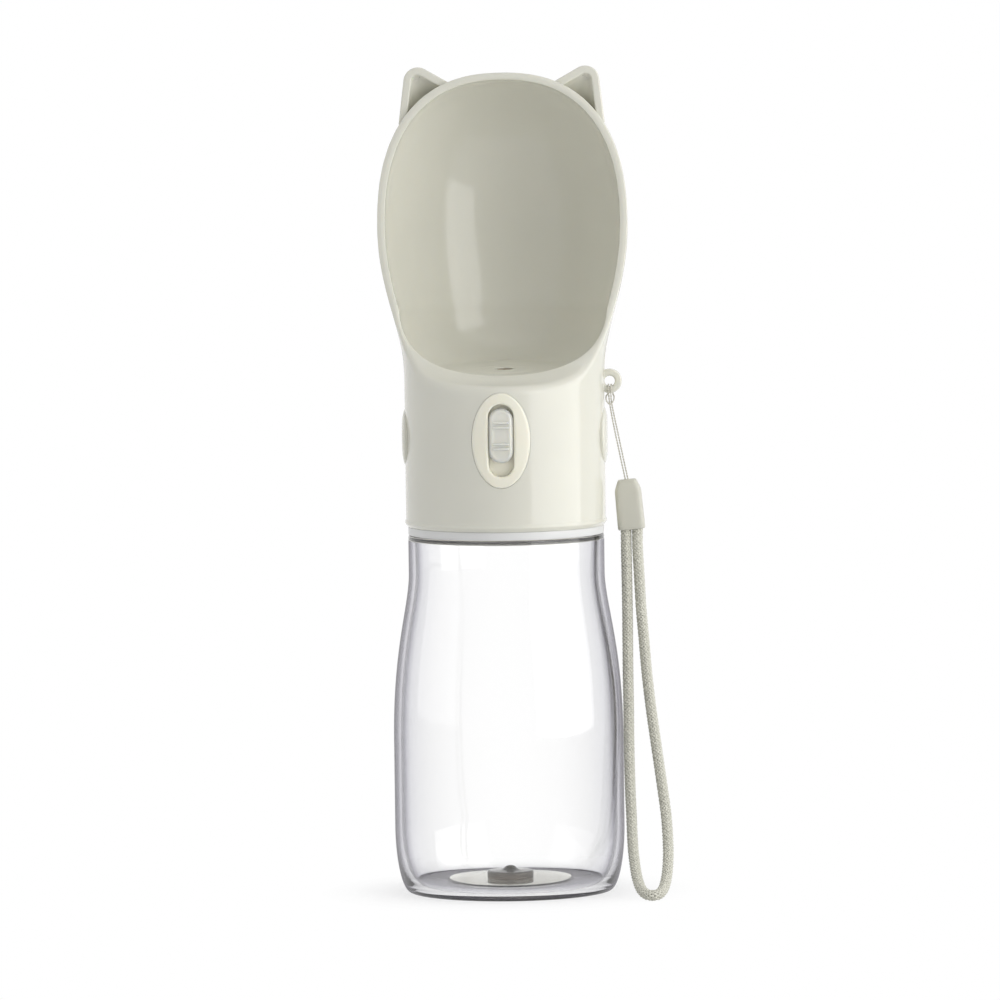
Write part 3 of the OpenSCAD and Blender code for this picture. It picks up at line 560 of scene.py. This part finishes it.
def meridian(phi):
    """Rows of the head at one azimuth, from the skirt's edge over the rim to the drain."""
    c, s = math.cos(phi), math.sin(phi)
    outer = [(r * c, r * s, z) for r, z in OUT_PROFILE]
    inner = [(r * c, r * s, soft_max(z, floor_height(r * s), 1.2)) for r, z in IN_PROFILE]

    def behind(p):
        return p[1] - mouth_y(p[2])

    def cross(a, b):
        for _ in range(40):
            m = mix(a, b, 0.5)
            if (behind(m) > 0) == (behind(a) > 0):
                a = m
            else:
                b = m
        return mix(a, b, 0.5)

    i = next(i for i in range(len(outer) - 1) if behind(outer[i]) > 0 >= behind(outer[i + 1]))
    top_out = cross(outer[i], outer[i + 1])
    outer = outer[:i + 1] + [top_out]
    k = max(k for k in range(len(inner) - 1) if behind(inner[k]) <= 0 < behind(inner[k + 1]))
    top_in = cross(inner[k], inner[k + 1])
    inner = [top_in] + inner[k + 1:]

    front = ease((-s - 0.15) / 0.75)
    rim = dist(top_out, top_in)
    f_out = min(1.05 + 2.0 * front, 0.5 * rim + 1.9 * front)
    f_in = min(1.0, 0.44 * rim)
    rows = []
    run_o = walk(outer)
    end_o = run_o[-1] - f_out
    for j in range(78):
        t = j / 77
        rows.append(at(outer, run_o, end_o * t))
    a = rows.pop()
    b_in = f_out / rim

    def rim_point(t):
        p = mix(top_out, top_in, t)
        y, z = to_mouth(p[1], p[2])
        lift = 0.12 * math.sin(math.pi * t)
        return (p[0], y - lift * math.cos(LEAN), z + lift * math.sin(LEAN))

    b = rim_point(min(b_in, 0.5))
    for j in range(9):
        rows.append(bezier2(a, top_out, b, j / 8))
    t0, t1 = min(b_in, 0.5), 1 - f_in / rim
    for j in range(1, 6):
        rows.append(rim_point(t0 + (t1 - t0) * j / 5))
    run_i = walk(inner)
    cpt = rim_point(t1)
    d = at(inner, run_i, f_in)
    for j in range(1, 6):
        rows.append(bezier2(cpt, top_in, d, j / 5))
    edge = (DRAIN_R + 0.35) * c, DRAIN_Y + (DRAIN_R + 0.35) * s
    flat_r = 10.0
    reach = [run_i[n] for n, p in enumerate(inner) if math.hypot(p[0], p[1]) >= flat_r][-1]
    for j in range(1, 85):
        rows.append(at(inner, run_i, f_in + (reach - f_in) * j / 84))
    base = rows[-1]
    for j in range(1, 9):
        x, y = mix(base[:2], edge, j / 8)
        z = mix((base[2],), (soft_max(FLOOR_LOW_Z, floor_height(y), 1.2),), ease(j / 4))[0]
        rows.append((x, y, z))
    # Down the drain hole, over the works' room and back to the skirt's lower edge
    for r, dz in ((DRAIN_R + 0.1, -0.1), (DRAIN_R, -0.35), (DRAIN_R, -3.0)):
        x, y = r * c, DRAIN_Y + r * s
        rows.append((x, y, soft_max(FLOOR_LOW_Z, floor_height(y), 1.2) + dz))
    rows.append((DRAIN_R * c, DRAIN_Y + DRAIN_R * s, ROOM_TOP_Z))
    for t in (0.35, 0.7):
        x, y = mix((DRAIN_R * c, DRAIN_Y + DRAIN_R * s), (ROOM_R * c, ROOM_R * s), t)
        rows.append((x, y, ROOM_TOP_Z))
    for z in (ROOM_TOP_Z, ROOM_TOP_Z - 0.3, 135.0, 121.0, SKIRT_Z + 0.3, SKIRT_Z):
        rows.append((ROOM_R * c, ROOM_R * s, z))
    for r, z in ((28.6, 1.6), (29.3, 1.6), (29.44, 1.65), (29.55, 1.78), (30.1, 2.5), (30.26, 2.68),
                 (30.3, 2.85), (30.3, 3.1), (30.24, 3.35), (30.1, 3.55), (30.02, 3.75)):
        rows.append((r * c, r * s, HEAD_Z + z))
    return rows


def build_head():
    cols = 288
    per = [meridian(-math.pi / 2 + 2 * math.pi * k / cols) for k in range(cols)]
    rows = len(per[0])
    verts = [per[k][i] for i in range(rows) for k in range(cols)]
    head = make("scoop_shell", verts, grid(rows, cols, wrap_rows=True), SHELL, "head")
    # The seat of the bezel, a hair larger than the bezel itself
    ring = [(8.81 * math.cos(a), 14.26 * math.sin(a))
            for a in (2 * math.pi * i / 160 for i in range(160))]
    cut_v = [(x, y, BEZEL_Z + z) for y in (-40.0, -25.9) for x, z in ring]
    cut_f = grid(2, 160) + [tuple(range(160)), tuple(reversed(range(160, 320)))]
    me = bpy.data.meshes.new("bezel_cut")
    me.from_pydata([tuple(c * MM for c in v) for v in cut_v], [], cut_f)
    tidy_mesh(me)
    cutter = bpy.data.objects.new("bezel_cut", me)
    bpy.context.scene.collection.objects.link(cutter)
    mod = head.modifiers.new("cut", "BOOLEAN")
    mod.operation = "DIFFERENCE"
    mod.solver = "EXACT"
    mod.object = cutter
    dg = bpy.context.evaluated_depsgraph_get()
    done = bpy.data.meshes.new_from_object(head.evaluated_get(dg))
    head.modifiers.clear()
    old = head.data
    head.data = done
    bpy.data.objects.remove(cutter)
    bpy.data.meshes.remove(old)
    if not head.data.materials:
        head.data.materials.append(SHELL)
    head.data.materials.append(DRAIN_PAINTED_SHADE)
    # The drain hole's walls take the painted shade
    for f in head.data.polygons:
        x, y, z = (c / MM for c in f.center)
        if math.hypot(x, y - DRAIN_Y) < DRAIN_R + 0.02 and z < FLOOR_LOW_Z + 1.6:
            f.material_index = 1
    shade(head.data, True, 40)
    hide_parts("scoop_head")


build_head()


# ------------------------------------------------------------------------ ears

EAR_X = 25.1
EAR_R = 4.3
EAR_WALL = 2.4
EAR_HALF = math.radians(33.5)
EAR_TURN = math.radians(26.75)
EAR_BACK = 1.2
EAR_Z = WIDE_Z + 47.5 - EAR_R
EAR_DEEP = 13.4


def build_ear(side):
    """A cupped ear: a hollow half cone with a round tip, its rim rounded."""
    origin = Vector((side * EAR_X, mouth_y(EAR_Z) + EAR_BACK, EAR_Z))
    up0 = Vector((0, math.sin(LEAN), math.cos(LEAN)))
    back = Vector((0, math.cos(LEAN), -math.sin(LEAN)))
    out0 = Vector((side, 0, 0))
    up = up0 * math.cos(EAR_TURN) + out0 * math.sin(EAR_TURN)
    out = out0 * math.cos(EAR_TURN) - up0 * math.sin(EAR_TURN)
    al = EAR_HALF
    thetas = [math.pi / 2 * i / 16 for i in range(17)]

    def normal_tip(psi, th):
        flat = out * math.cos(psi) + up * math.sin(psi)
        return flat * math.cos(th) + back * math.sin(th)

    def normal_side(sgn, th):
        radial = out * (sgn * math.cos(th)) + back * math.sin(th)
        return radial * math.cos(al) + up * math.sin(al), radial * math.sin(al) - up * math.cos(al)

    stations = []
    lengths = [0.3, 0.7, 1.2, 2, 3, 4, 5.5, 7, 8.5, 10, 11.5, 12.5, EAR_DEEP]
    for sgn in (1, -1):
        part = []
        for length in reversed(lengths):
            part.append(("side", sgn, length))
        for k in range(5):
            part.append(("blend", sgn, k / 5))
        stations += part if sgn == 1 else list(reversed(part))
        if sgn == 1:
            n = 20
            stations += [("tip", 0, al + (math.pi - 2 * al) * i / n) for i in range(n + 1)]

    def surface(st, th, r):
        kind, sgn, val = st
        if kind == "tip":
            return origin + normal_tip(val, th) * r
        if kind == "side":
            n, g = normal_side(sgn, th)
            return origin + n * r + g * val
        n0, _ = normal_side(sgn, th)
        n1 = normal_tip(al if sgn == 1 else math.pi - al, th)
        return origin + (n0 * (1 - val) + n1 * val).normalized() * r

    rows = []
    r_in, r_out = EAR_R - EAR_WALL, EAR_R
    fil = 0.62
    round_steps = (0, .17, .33, .5, .67, .83, 1)

    def behind_rim(p):
        deep = (p - origin).dot(back)
        return p if deep > fil else p + back * (fil - deep)

    for st in stations:
        col = [surface(st, th, r_out) for th in reversed(thetas[1:])]
        front_out = surface(st, 0.0, r_out)
        front_in = surface(st, 0.0, r_in)
        flat = (front_in - front_out).normalized()
        step_o = front_out + back * fil
        step_i = front_in + back * fil
        col = [behind_rim(p) for p in col]
        col += [Vector(bezier2(step_o, front_out, front_out + flat * fil, t)) for t in round_steps]
        col += [front_out + (front_in - front_out) * t for t in (0.4, 0.5, 0.6)]
        col += [Vector(bezier2(front_in - flat * fil, front_in, step_i, t)) for t in round_steps]
        col += [behind_rim(surface(st, th, r_in)) for th in thetas[1:]]
        rows.append(col)
    verts = []
    for col in rows:
        for p in col:
            r = math.hypot(p.x, p.y)
            keep = scoop_radius(p.z) - 1.0
            if p.z < WIDE_Z + DOME_H - 0.5 and 0 < r < keep:
                p = Vector((p.x * keep / r, p.y * keep / r, p.z))
            verts.append(tuple(p))
    name = "ear_right" if side == 1 else "ear_left"
    ear = make(name, verts, grid(len(rows), len(rows[0]), wrap_cols=False), SHELL, "head")
    tidy_mesh(ear.data, 2e-5)
    shade(ear.data, True, 50)
    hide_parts("scoop_head")


build_ear(1)
build_ear(-1)


# ------------------------------------------------------------ pads and eyelet

def build_pad(side):
    """An oval grip pad, part of a ball round the axis, with a dished middle."""
    half_w, half_h, ball, dish = 9.0, 8.75, SKIRT_R + 1.3, SKIRT_R + 0.7
    rings = [0.0, 0.2, 0.4, 0.52, 0.58, 0.61, 0.63, 0.65, 0.67, 0.7, 0.74, 0.8, 0.86, 0.9, 0.93, 0.955, 0.975,
             0.988, 0.996, 1.0, 1.0]
    sides = 128
    verts = []
    for i, s in enumerate(rings):
        for k in range(sides):
            a = 2 * math.pi * k / sides
            w, z = half_w * s * math.cos(a), half_h * s * math.sin(a)
            r = math.sqrt(ball ** 2 - z * z)
            if s < 0.7:
                r -= max(0.0, r - dish) * ease((0.7 - s) / 0.12)
            if s > 0.88:
                t = (s - 0.88) / 0.12
                r -= 0.62 * (1 - math.sqrt(max(0.0, 1 - t * t)))
            if i == len(rings) - 1:
                r = SKIRT_R - 0.5
            verts.append((side * r * math.cos(w / SKIRT_R), r * math.sin(w / SKIRT_R), PAD_Z + z))
    name = "grip_pad_right" if side == 1 else "grip_pad_left"
    pad = make(name, verts, grid(len(rings), sides), SHELL, "head")
    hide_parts("scoop_head")


build_pad(1)
build_pad(-1)


def build_eyelet():
    x0, z0 = SKIRT_R + 1.6, HEAD_Z + 44.6
    r0, r1, half, f = 1.55, 3.65, 1.3, 0.6
    prof = []
    for cx, cy, a0 in ((r1 - f, half - f, 0), (r0 + f, half - f, 90), (r0 + f, -half + f, 180),
                       (r1 - f, -half + f, 270)):
        for i in range(7):
            a = math.radians(a0 + 90 * i / 6)
            prof.append((cx + f * math.cos(a), cy + f * math.sin(a)))
    sides = 64
    verts = []
    for r, y in prof:
        for k in range(sides):
            a = 2 * math.pi * k / sides
            verts.append((x0 + r * math.cos(a), y, z0 + r * math.sin(a)))
    eye = make("strap_eyelet", verts, grid(len(prof), sides, wrap_rows=True), SHELL, "head")
    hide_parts("scoop_head")


build_eyelet()


# -------------------------------------------------------------- bezel and key

def stadium_ring(w, h, n):
    """n points about evenly spaced round a stadium's outline."""
    r, d = w / 2, h / 2 - w / 2
    total = 2 * math.pi * r + 4 * d
    out = []
    for i in range(n):
        s = total * i / n
        if s < d:
            out.append((r, s))
        elif s < d + math.pi * r:
            a = (s - d) / r
            out.append((r * math.cos(a), d + r * math.sin(a)))
        elif s < 3 * d + math.pi * r:
            out.append((-r, d - (s - d - math.pi * r)))
        elif s < 3 * d + 2 * math.pi * r:
            a = math.pi + (s - 3 * d - math.pi * r) / r
            out.append((r * math.cos(a), -d + r * math.sin(a)))
        else:
            out.append((r, -d + (s - 3 * d - 2 * math.pi * r)))
    return out


def build_bezel():
    n = 160
    inner = stadium_ring(7.5, 21.6, n)
    outer = []
    for x, z in inner:
        a = math.atan2(z / 14.2, x / 8.75)
        outer.append((8.75 * math.cos(a), 14.2 * math.sin(a)))
    face_r = SKIRT_R + 0.35
    back_y = -27.5

    def lay(t, drop, grow=0.0):
        row = []
        for (xi, zi), (xo, zo) in zip(inner, outer):
            x, z = xo + (xi - xo) * t, zo + (zi - zo) * t
            y = -math.sqrt(face_r ** 2 - x * x) + drop
            row.append((x, min(y, back_y), BEZEL_Z + z))
        return row

    rows = [[(x, back_y, BEZEL_Z + z) for x, z in outer]]
    rows.append(lay(0.0, 1.5))
    rows.append(lay(0.0, 0.5))
    f = 0.42
    for t, dz in ((0.0, f), (0.02, 0.62 * f), (0.055, 0.29 * f), (0.1, 0.08 * f), (0.15, 0.0)):
        rows.append(lay(t, dz))
    for t in (0.3, 0.45, 0.6, 0.72):
        rows.append(lay(t, 0.0))
    g = 0.75
    for t, dz in ((0.8, 0.0), (0.86, 0.06 * g), (0.915, 0.2 * g), (0.96, 0.45 * g), (0.985, 0.72 * g),
                  (1.0, 1.1 * g)):
        rows.append(lay(t, dz))
    rows.append(lay(1.0, 1.6))
    rows.append([(x, back_y, BEZEL_Z + z) for x, z in inner])
    verts = [p for row in rows for p in row]
    bezel = make("button_bezel_oval", verts, grid(len(rows), n, wrap_rows=True), IVORY, "head")
    shade(bezel.data, True, 50)
    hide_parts("button_bezel")


build_bezel()


def build_key():
    """The sliding key: a crowned stadium with a raised border and two pairs of ribs."""
    n = 120
    face_y = -(SKIRT_R + 0.65)
    crown = 45.0

    def ring_at(inset, drop):
        out = []
        for x, z in stadium_ring(6.5 - 2 * inset, 15.9 - 2 * inset, n):
            y = face_y + crown - math.sqrt(crown ** 2 - z * z) + drop
            out.append((x, y, KEY_Z + z))
        return out

    rows = [[(x, -25.5, KEY_Z + z) for x, z in stadium_ring(6.5, 15.9, n)],
            ring_at(0.0, 1.6), ring_at(0.0, 0.9)]
    f = 0.62
    for i in range(7):
        a = math.radians(90 * i / 6)
        rows.append(ring_at(f * (1 - math.cos(a)), f * (1 - math.sin(a))))
    rows.append(ring_at(0.85, 0.02))
    rows.append(ring_at(1.1, 0.1))
    rows.append(ring_at(1.35, 0.13))
    for inset in (1.8, 2.3, 2.8, 3.15):
        rows.append(ring_at(inset, 0.13))
    verts = [p for row in rows for p in row]
    faces = grid(len(rows), n)
    last = len(verts) - n
    faces.append(tuple(range(last, last + n)))
    flange = [[(x, -25.5, KEY_Z + z) for x, z in stadium_ring(8.1, 17.9, n)],
              [(x, -24.3, KEY_Z + z) for x, z in stadium_ring(8.1, 17.9, n)]]
    base = len(verts)
    verts += [p for row in flange for p in row]
    faces += [tuple(base + j for j in fc) for fc in grid(2, n)]
    faces.append(tuple(base + j for j in range(n)))
    faces.append(tuple(base + n + j for j in reversed(range(n))))
    # The shoulder round the key, inside the bezel's slot
    step = [(-25.5, 0.0), (-29.3, 0.0), (-29.5, 0.06), (-29.6, 0.2)]
    base = len(verts)
    for y, inset in step:
        verts += [(x, y, KEY_Z + z) for x, z in stadium_ring(7.3 - 2 * inset, 16.3 - 2 * inset, n)]
    verts += [(x, -29.6, KEY_Z + z) for x, z in stadium_ring(6.0, 15.4, n)]
    faces += [tuple(base + j for j in fc) for fc in grid(5, n)]
    base = len(verts)
    m = 32
    for y in (-24.4, -14.7):
        for k in range(m):
            a = 2 * math.pi * k / m
            verts.append((1.5 * math.cos(a), y, KEY_Z + 1.5 * math.sin(a)))
    faces += [tuple(base + j for j in fc) for fc in grid(2, m)]
    faces.append(tuple(base + m + j for j in reversed(range(m))))
    key = make("push_key_cap", verts, faces, KEY, "key")
    shade(key.data, True, 45)
    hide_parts("push_key")
    verts, faces = [], []
    for s in (-1, 1):
        for t in (-1, 1):
            zc = s * 3.18 + t * 0.7
            yc = face_y + crown - math.sqrt(crown ** 2 - zc * zc) - 0.02
            base = len(verts)
            half, rad, m = 2.1, 0.34, 14
            xs = [(-half - rad * math.cos(a), rad * math.sin(a))
                  for a in (math.pi / 2 * i / 5 for i in range(6))]
            xs += [(-x, r) for x, r in reversed(xs)]
            for x, r in xs:
                for k in range(m):
                    b = 2 * math.pi * k / m
                    verts.append((x, yc + 1.15 * r * math.cos(b), KEY_Z + zc + r * math.sin(b)))
            faces += [tuple(base + j for j in fc) for fc in grid(len(xs), m)]
    ribs = make("push_key_ribs", verts, faces, KEY, "key")
    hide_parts("push_key")


build_key()


# --------------------------------------------------------------------- ferrule

def build_ferrule():
    top, foot = Vector((36.4, 0, 123.5)), Vector((37.7, 0, 108.5))
    axis = top - foot
    length = axis.length
    axis.normalize()
    side = Vector((axis.z, 0, -axis.x))
    depth = Vector((0, 1, 0))
    n = 48

    def section(w, d, r, h):
        out = []
        for k in range(n):
            a = 2 * math.pi * k / n
            c, s = math.cos(a), math.sin(a)
            e = 0.42
            x = math.copysign(abs(c) ** e, c) * w / 2
            y = math.copysign(abs(s) ** e, s) * d / 2
            out.append(tuple(foot + side * x * r + depth * y * r + axis * h))
        return out

    levels = [(0.0, 8.2, 5.0, 0.9), (0.06, 8.2, 5.0, 0.955), (0.25, 8.2, 5.0, 0.985), (0.55, 8.2, 5.0, 1.0),
              (2, 8.2, 5.0, 1.0), (5, 8.12, 5.0, 1.0), (8, 8.05, 4.98, 1.0), (10.5, 7.98, 4.95, 1.0),
              (11.3, 7.95, 4.93, 1.0), (11.8, 7.85, 4.88, 1.0), (12.4, 7.55, 4.7, 1.0), (13.2, 6.95, 4.5, 1.0),
              (14.1, 6.2, 4.25, 1.0), (14.6, 5.8, 4.1, 1.0), (14.85, 5.6, 4.0, 0.98),
              (length - 0.02, 5.4, 3.8, 0.93), (length, 5.1, 3.6, 0.85)]
    verts = [p for h, w, d, r in levels for p in section(w, d, r, h)]
    faces = grid(len(levels), n)
    faces.append(tuple(reversed(range(n))))
    faces.append(tuple(range(len(verts) - n, len(verts))))
    fer = make("strap_ferrule_clip", verts, faces, FERRULE, "head")
    shade(fer.data, True, 60)
    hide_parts("strap_ferrule")


build_ferrule()


# ---------------------------------------------------------------------- bottle

def bezier3(a, b, c, d, t):
    return a * (1 - t) ** 3 + 3 * b * t * (1 - t) ** 2 + 3 * c * t * t * (1 - t) + d * t ** 3


def taper(low, high, steps):
    z0, h = 46.0, 50.0
    return [(bezier3(low, low, high, high, i / steps),
             bezier3(z0, z0 + 0.56 * h, z0 + 0.8 * h, z0 + h, i / steps)) for i in range(steps + 1)]


def heel(r, inward, h, z, steps):
    return [(r - inward + inward * math.sin(a), z + h * (1 - math.cos(a)))
            for a in (math.pi / 2 * i / steps for i in range(steps + 1))]


def arc(cx, cz, r, a0, a1, steps):
    return [(cx + r * math.cos(math.radians(a0 + (a1 - a0) * i / steps)),
             cz + r * math.sin(math.radians(a0 + (a1 - a0) * i / steps))) for i in range(steps + 1)]


def build_bottle():
    # Outside, from the middle of the underside to the mouth
    prof = [(0.0, 0.95), (3.0, 0.95), (7.0, 0.95), (12, 0.95), (18.0, 0.95), (18.6, 0.9), (19.4, 0.78),
            (22, 0.55)]
    prof += [(25, 0.25), (26.6, 0.05), (27.4, 0.0), (29.0, 0.0)]
    prof += heel(34.5, 4.5, 20, 0, 32)
    prof += [(34.5, 20 + 26 * i / 6) for i in range(1, 6)]
    prof += taper(34.5, WAIST_R, 48)
    prof += [(WAIST_R, 98.0), (WAIST_R, 100.0), (WAIST_R, 103.0), (WAIST_R, 106.0)]
    prof += arc(WAIST_R - 0.7, SHOULDER_Z - 0.7, 0.7, 0, 90, 6)
    prof += [(27.0, SHOULDER_Z), (26.2, SHOULDER_Z)]
    prof += arc(26.1, SHOULDER_Z + 0.5, 0.5, 270, 180, 5)
    prof += [(25.6, 112.0), (25.6, 117.2)] + arc(25.0, 117.4, 0.6, 0, 90, 5)
    # Inside, down to the floor
    prof += arc(23.6, 117.4, 0.6, 90, 180, 5)
    prof += [(23.0, 112.0), (23.0, 107.7)] + arc(24.0, 107.6, 1.0, 180, 270, 6)
    prof += [(25.0, 106.6)] + arc(WAIST_R - 1.9 - 0.7, 105.9, 0.7, 90, 0, 8)
    prof += [(WAIST_R - 2, 100.0), (WAIST_R - 2, 98.0)]
    prof += list(reversed(taper(32.5, WAIST_R - 2, 48)))
    prof += [(32.5, 46 - 26 * i / 6) for i in range(1, 6)]
    prof += list(reversed(heel(32.5, 5.0, 18, 2, 32)))
    prof += [(26.4, 2.0), (25.0, 2.02), (22.0, 2.1), (19.6, 2.2), (19.1, 2.3), (18.8, 2.5), (18.5, 2.62),
             (18.0, 2.65), (12.0, 2.65), (7.6, 2.66), (4.0, 2.66), (0.0, 2.66)]
    verts, faces = lathe([(max(r, 0.001), z) for r, z in prof], 256)
    bottle = make("bottle_clear", verts, faces, CLEAR, "bottle")
    tidy_mesh(bottle.data, 5e-6)
    # Painted shade: the middle of the underside and the shoulder's top under the seal take the olive-grey tint
    bottle.data.materials.append(DISC_PAINTED_SHADE)
    for f in bottle.data.polygons:
        r, z = math.hypot(f.center.x, f.center.y) / MM, f.center.z / MM
        if (r < 18.4 and z < 2.7) or (z > SHOULDER_Z - 1.2 and r > 26.5):
            f.material_index = 1
    shade(bottle.data, True, 60)
    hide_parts("bottle")


def build_gate():
    """The boss that the moulding leaves in the middle of the bottle's floor, coloured a painted-shade brown."""
    prof = [(0.001, 1.1), (3.0, 1.1), (6.3, 1.1), (6.7, 1.15), (6.92, 1.3), (7.0, 1.6), (7.0, 3.0), (7.0, 4.7),
            (6.9, 5.0), (6.6, 5.17), (6.1, 5.22), (3.4, 5.26), (2.6, 5.4), (2.1, 5.75), (1.7, 6.2), (1.2, 6.6),
            (0.6, 6.82), (0.001, 6.85)]
    verts, faces = lathe(prof, 96)
    gate = make("bottle_gate_boss", verts, faces, GATE_PAINTED_SHADE, "bottle")
    shade(gate.data, True, 60)
    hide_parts("bottle")


def build_thread():
    """The thread on the neck, seen when the head is unscrewed."""
    turns, pitch, neck_r = 1.75, 4.0, 25.6
    steps = int(turns * 64)
    path = [(2 * math.pi * i / 64, 109.2 + pitch * i / 64) for i in range(steps + 1)]
    verts = []
    sec = [(-0.25, -1.0), (0.12, -0.72), (0.3, -0.35), (0.32, 0.0), (0.3, 0.35), (0.12, 0.72), (-0.25, 1.0)]
    for i, (a, z) in enumerate(path):
        fade = min(1.0, i / 8, (steps - i) / 8)
        for dr, dz in sec:
            r = neck_r - 0.25 + (dr + 0.25) * fade
            verts.append((r * math.cos(a), r * math.sin(a), z + dz * (0.4 + 0.6 * fade)))
    thread = make("neck_thread", verts, grid(len(path), len(sec)), CLEAR, "bottle")
    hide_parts("bottle")


build_bottle()
build_gate()
build_thread()


def build_seal():
    """The milky ring between the bottle's shoulder and the skirt."""
    low, high = SHOULDER_Z + 0.02, SKIRT_Z - 0.02
    prof = arc(29.05, low + 0.3, 0.3, 270, 360, 4) + arc(29.05, high - 0.3, 0.3, 0, 90, 4)
    prof += arc(26.4, high - 0.2, 0.2, 90, 180, 3) + arc(26.4, low + 0.2, 0.2, 180, 270, 3)
    verts, faces = lathe(prof, 192, True)
    ring = make("neck_seal_ring", verts, faces, MILKY, "seal_ring")
    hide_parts("neck_seal")


build_seal()


# ------------------------------------------- CAD nodes that keep their shape

# The slide carrier takes the cream copy of the ivory, painted light for the slot floor
KEEP = {
    "inner_cap": WHITE, "cap_gasket": MILKY, "slide_carrier": CREAM_PAINTED_LIGHT,
    "carrier_bridge": WHITE, "key_spring": STEEL, "valve_body": VALVE, "valve_stem": VALVE,
    "valve_seal": DARK, "stem_seal": DARK, "valve_spring": STEEL, "spring_cap": VALVE,
    "plug_seal": DARK, "inlet_seal": DARK, "outlet_seal": DARK, "valve_screws": STEEL,
}
for name, material in KEEP.items():
    me = NODES[name].data
    me.materials.clear()
    me.materials.append(material)


# ------------------------------------------------------- floor, world, lights

def seen_white(nt):
    """1 for the rays that see the white background: camera, transmission and glossy."""
    path = nt.nodes.new("ShaderNodeLightPath")
    fac = path.outputs["Is Camera Ray"]
    for kind in ("Is Transmission Ray", "Is Glossy Ray"):
        either = nt.nodes.new("ShaderNodeMath")
        either.operation = "MAXIMUM"
        nt.links.new(fac, either.inputs[0])
        nt.links.new(path.outputs[kind], either.inputs[1])
        fac = either.outputs[0]
    return fac


def build_floor():
    size = 1.2
    me = bpy.data.meshes.new("floor")
    me.from_pydata([(-size, -size, 0), (size, -size, 0), (size, size, 0), (-size, size, 0)], [], [(0, 1, 2, 3)])
    floor = bpy.data.objects.new("floor", me)
    floor.location = (0, 0, -0.0003)
    bpy.context.scene.collection.objects.link(floor)
    mat = bpy.data.materials.new("floor_white")
    mat.use_nodes = True
    nt = mat.node_tree
    for n in list(nt.nodes):
        nt.nodes.remove(n)
    out = nt.nodes.new("ShaderNodeOutputMaterial")
    diffuse = nt.nodes.new("ShaderNodeBsdfDiffuse")
    diffuse.inputs["Color"].default_value = (0.9, 0.9, 0.9, 1)
    glow = nt.nodes.new("ShaderNodeEmission")
    glow.inputs["Color"].default_value = (1, 1, 1, 1)
    glow.inputs["Strength"].default_value = 1.0
    # The shadow close round the bottle is kept, and gives way to plain white further out
    tc = nt.nodes.new("ShaderNodeTexCoord")
    length = nt.nodes.new("ShaderNodeVectorMath")
    length.operation = "LENGTH"
    nt.links.new(tc.outputs["Object"], length.inputs[0])
    far = nt.nodes.new("ShaderNodeMapRange")
    far.inputs["From Max"].default_value = 0.06
    nt.links.new(length.outputs["Value"], far.inputs["Value"])
    share = ramp(nt, far.outputs["Result"],
                 [(0.0, 0.2), (0.29, 0.25), (0.36, 0.8), (0.55, 0.72), (0.66, 0.84), (0.8, 0.95), (0.95, 1.0)])
    fade = nt.nodes.new("ShaderNodeMixShader")
    nt.links.new(share, fade.inputs["Fac"])
    nt.links.new(diffuse.outputs[0], fade.inputs[1])
    nt.links.new(glow.outputs[0], fade.inputs[2])
    last = nt.nodes.new("ShaderNodeMixShader")
    nt.links.new(seen_white(nt), last.inputs["Fac"])
    nt.links.new(diffuse.outputs[0], last.inputs[1])
    nt.links.new(fade.outputs[0], last.inputs[2])
    nt.links.new(last.outputs[0], out.inputs["Surface"])
    me.materials.append(mat)


build_floor()


def build_world():
    world = bpy.data.worlds.new("studio")
    bpy.context.scene.world = world
    world.use_nodes = True
    nt = world.node_tree
    for n in list(nt.nodes):
        nt.nodes.remove(n)
    out = nt.nodes.new("ShaderNodeOutputWorld")
    white = nt.nodes.new("ShaderNodeBackground")
    white.inputs["Color"].default_value = (1, 1, 1, 1)
    white.inputs["Strength"].default_value = 1.0
    room = nt.nodes.new("ShaderNodeBackground")
    room.inputs["Color"].default_value = (0.95, 0.96, 1.0, 1)
    room.inputs["Strength"].default_value = 0.39
    pick = nt.nodes.new("ShaderNodeMixShader")
    nt.links.new(seen_white(nt), pick.inputs["Fac"])
    nt.links.new(room.outputs[0], pick.inputs[1])
    nt.links.new(white.outputs[0], pick.inputs[2])
    nt.links.new(pick.outputs[0], out.inputs["Surface"])


build_world()


def softbox(name, azimuth, height, distance, width, tall, power):
    lamp = bpy.data.lights.new(name, "AREA")
    lamp.shape = "RECTANGLE"
    lamp.size = width
    lamp.size_y = tall
    lamp.energy = power
    ob = bpy.data.objects.new(name, lamp)
    bpy.context.scene.collection.objects.link(ob)
    a = math.radians(azimuth)
    ob.location = (distance * math.sin(a), -distance * math.cos(a), height)
    aim = Vector((0, 0, 0.15)) - ob.location
    ob.rotation_euler = aim.to_track_quat("-Z", "Y").to_euler()
    return ob


softbox("softbox_right", 64, 0.30, 0.6, 0.85, 0.62, 3.4)
softbox("softbox_left", -78, 0.30, 1.0, 1.1, 1.1, 3.3).visible_glossy = False
softbox("softbox_top", 0, 1.5, 0.25, 0.9, 0.9, 3.5).visible_glossy = False
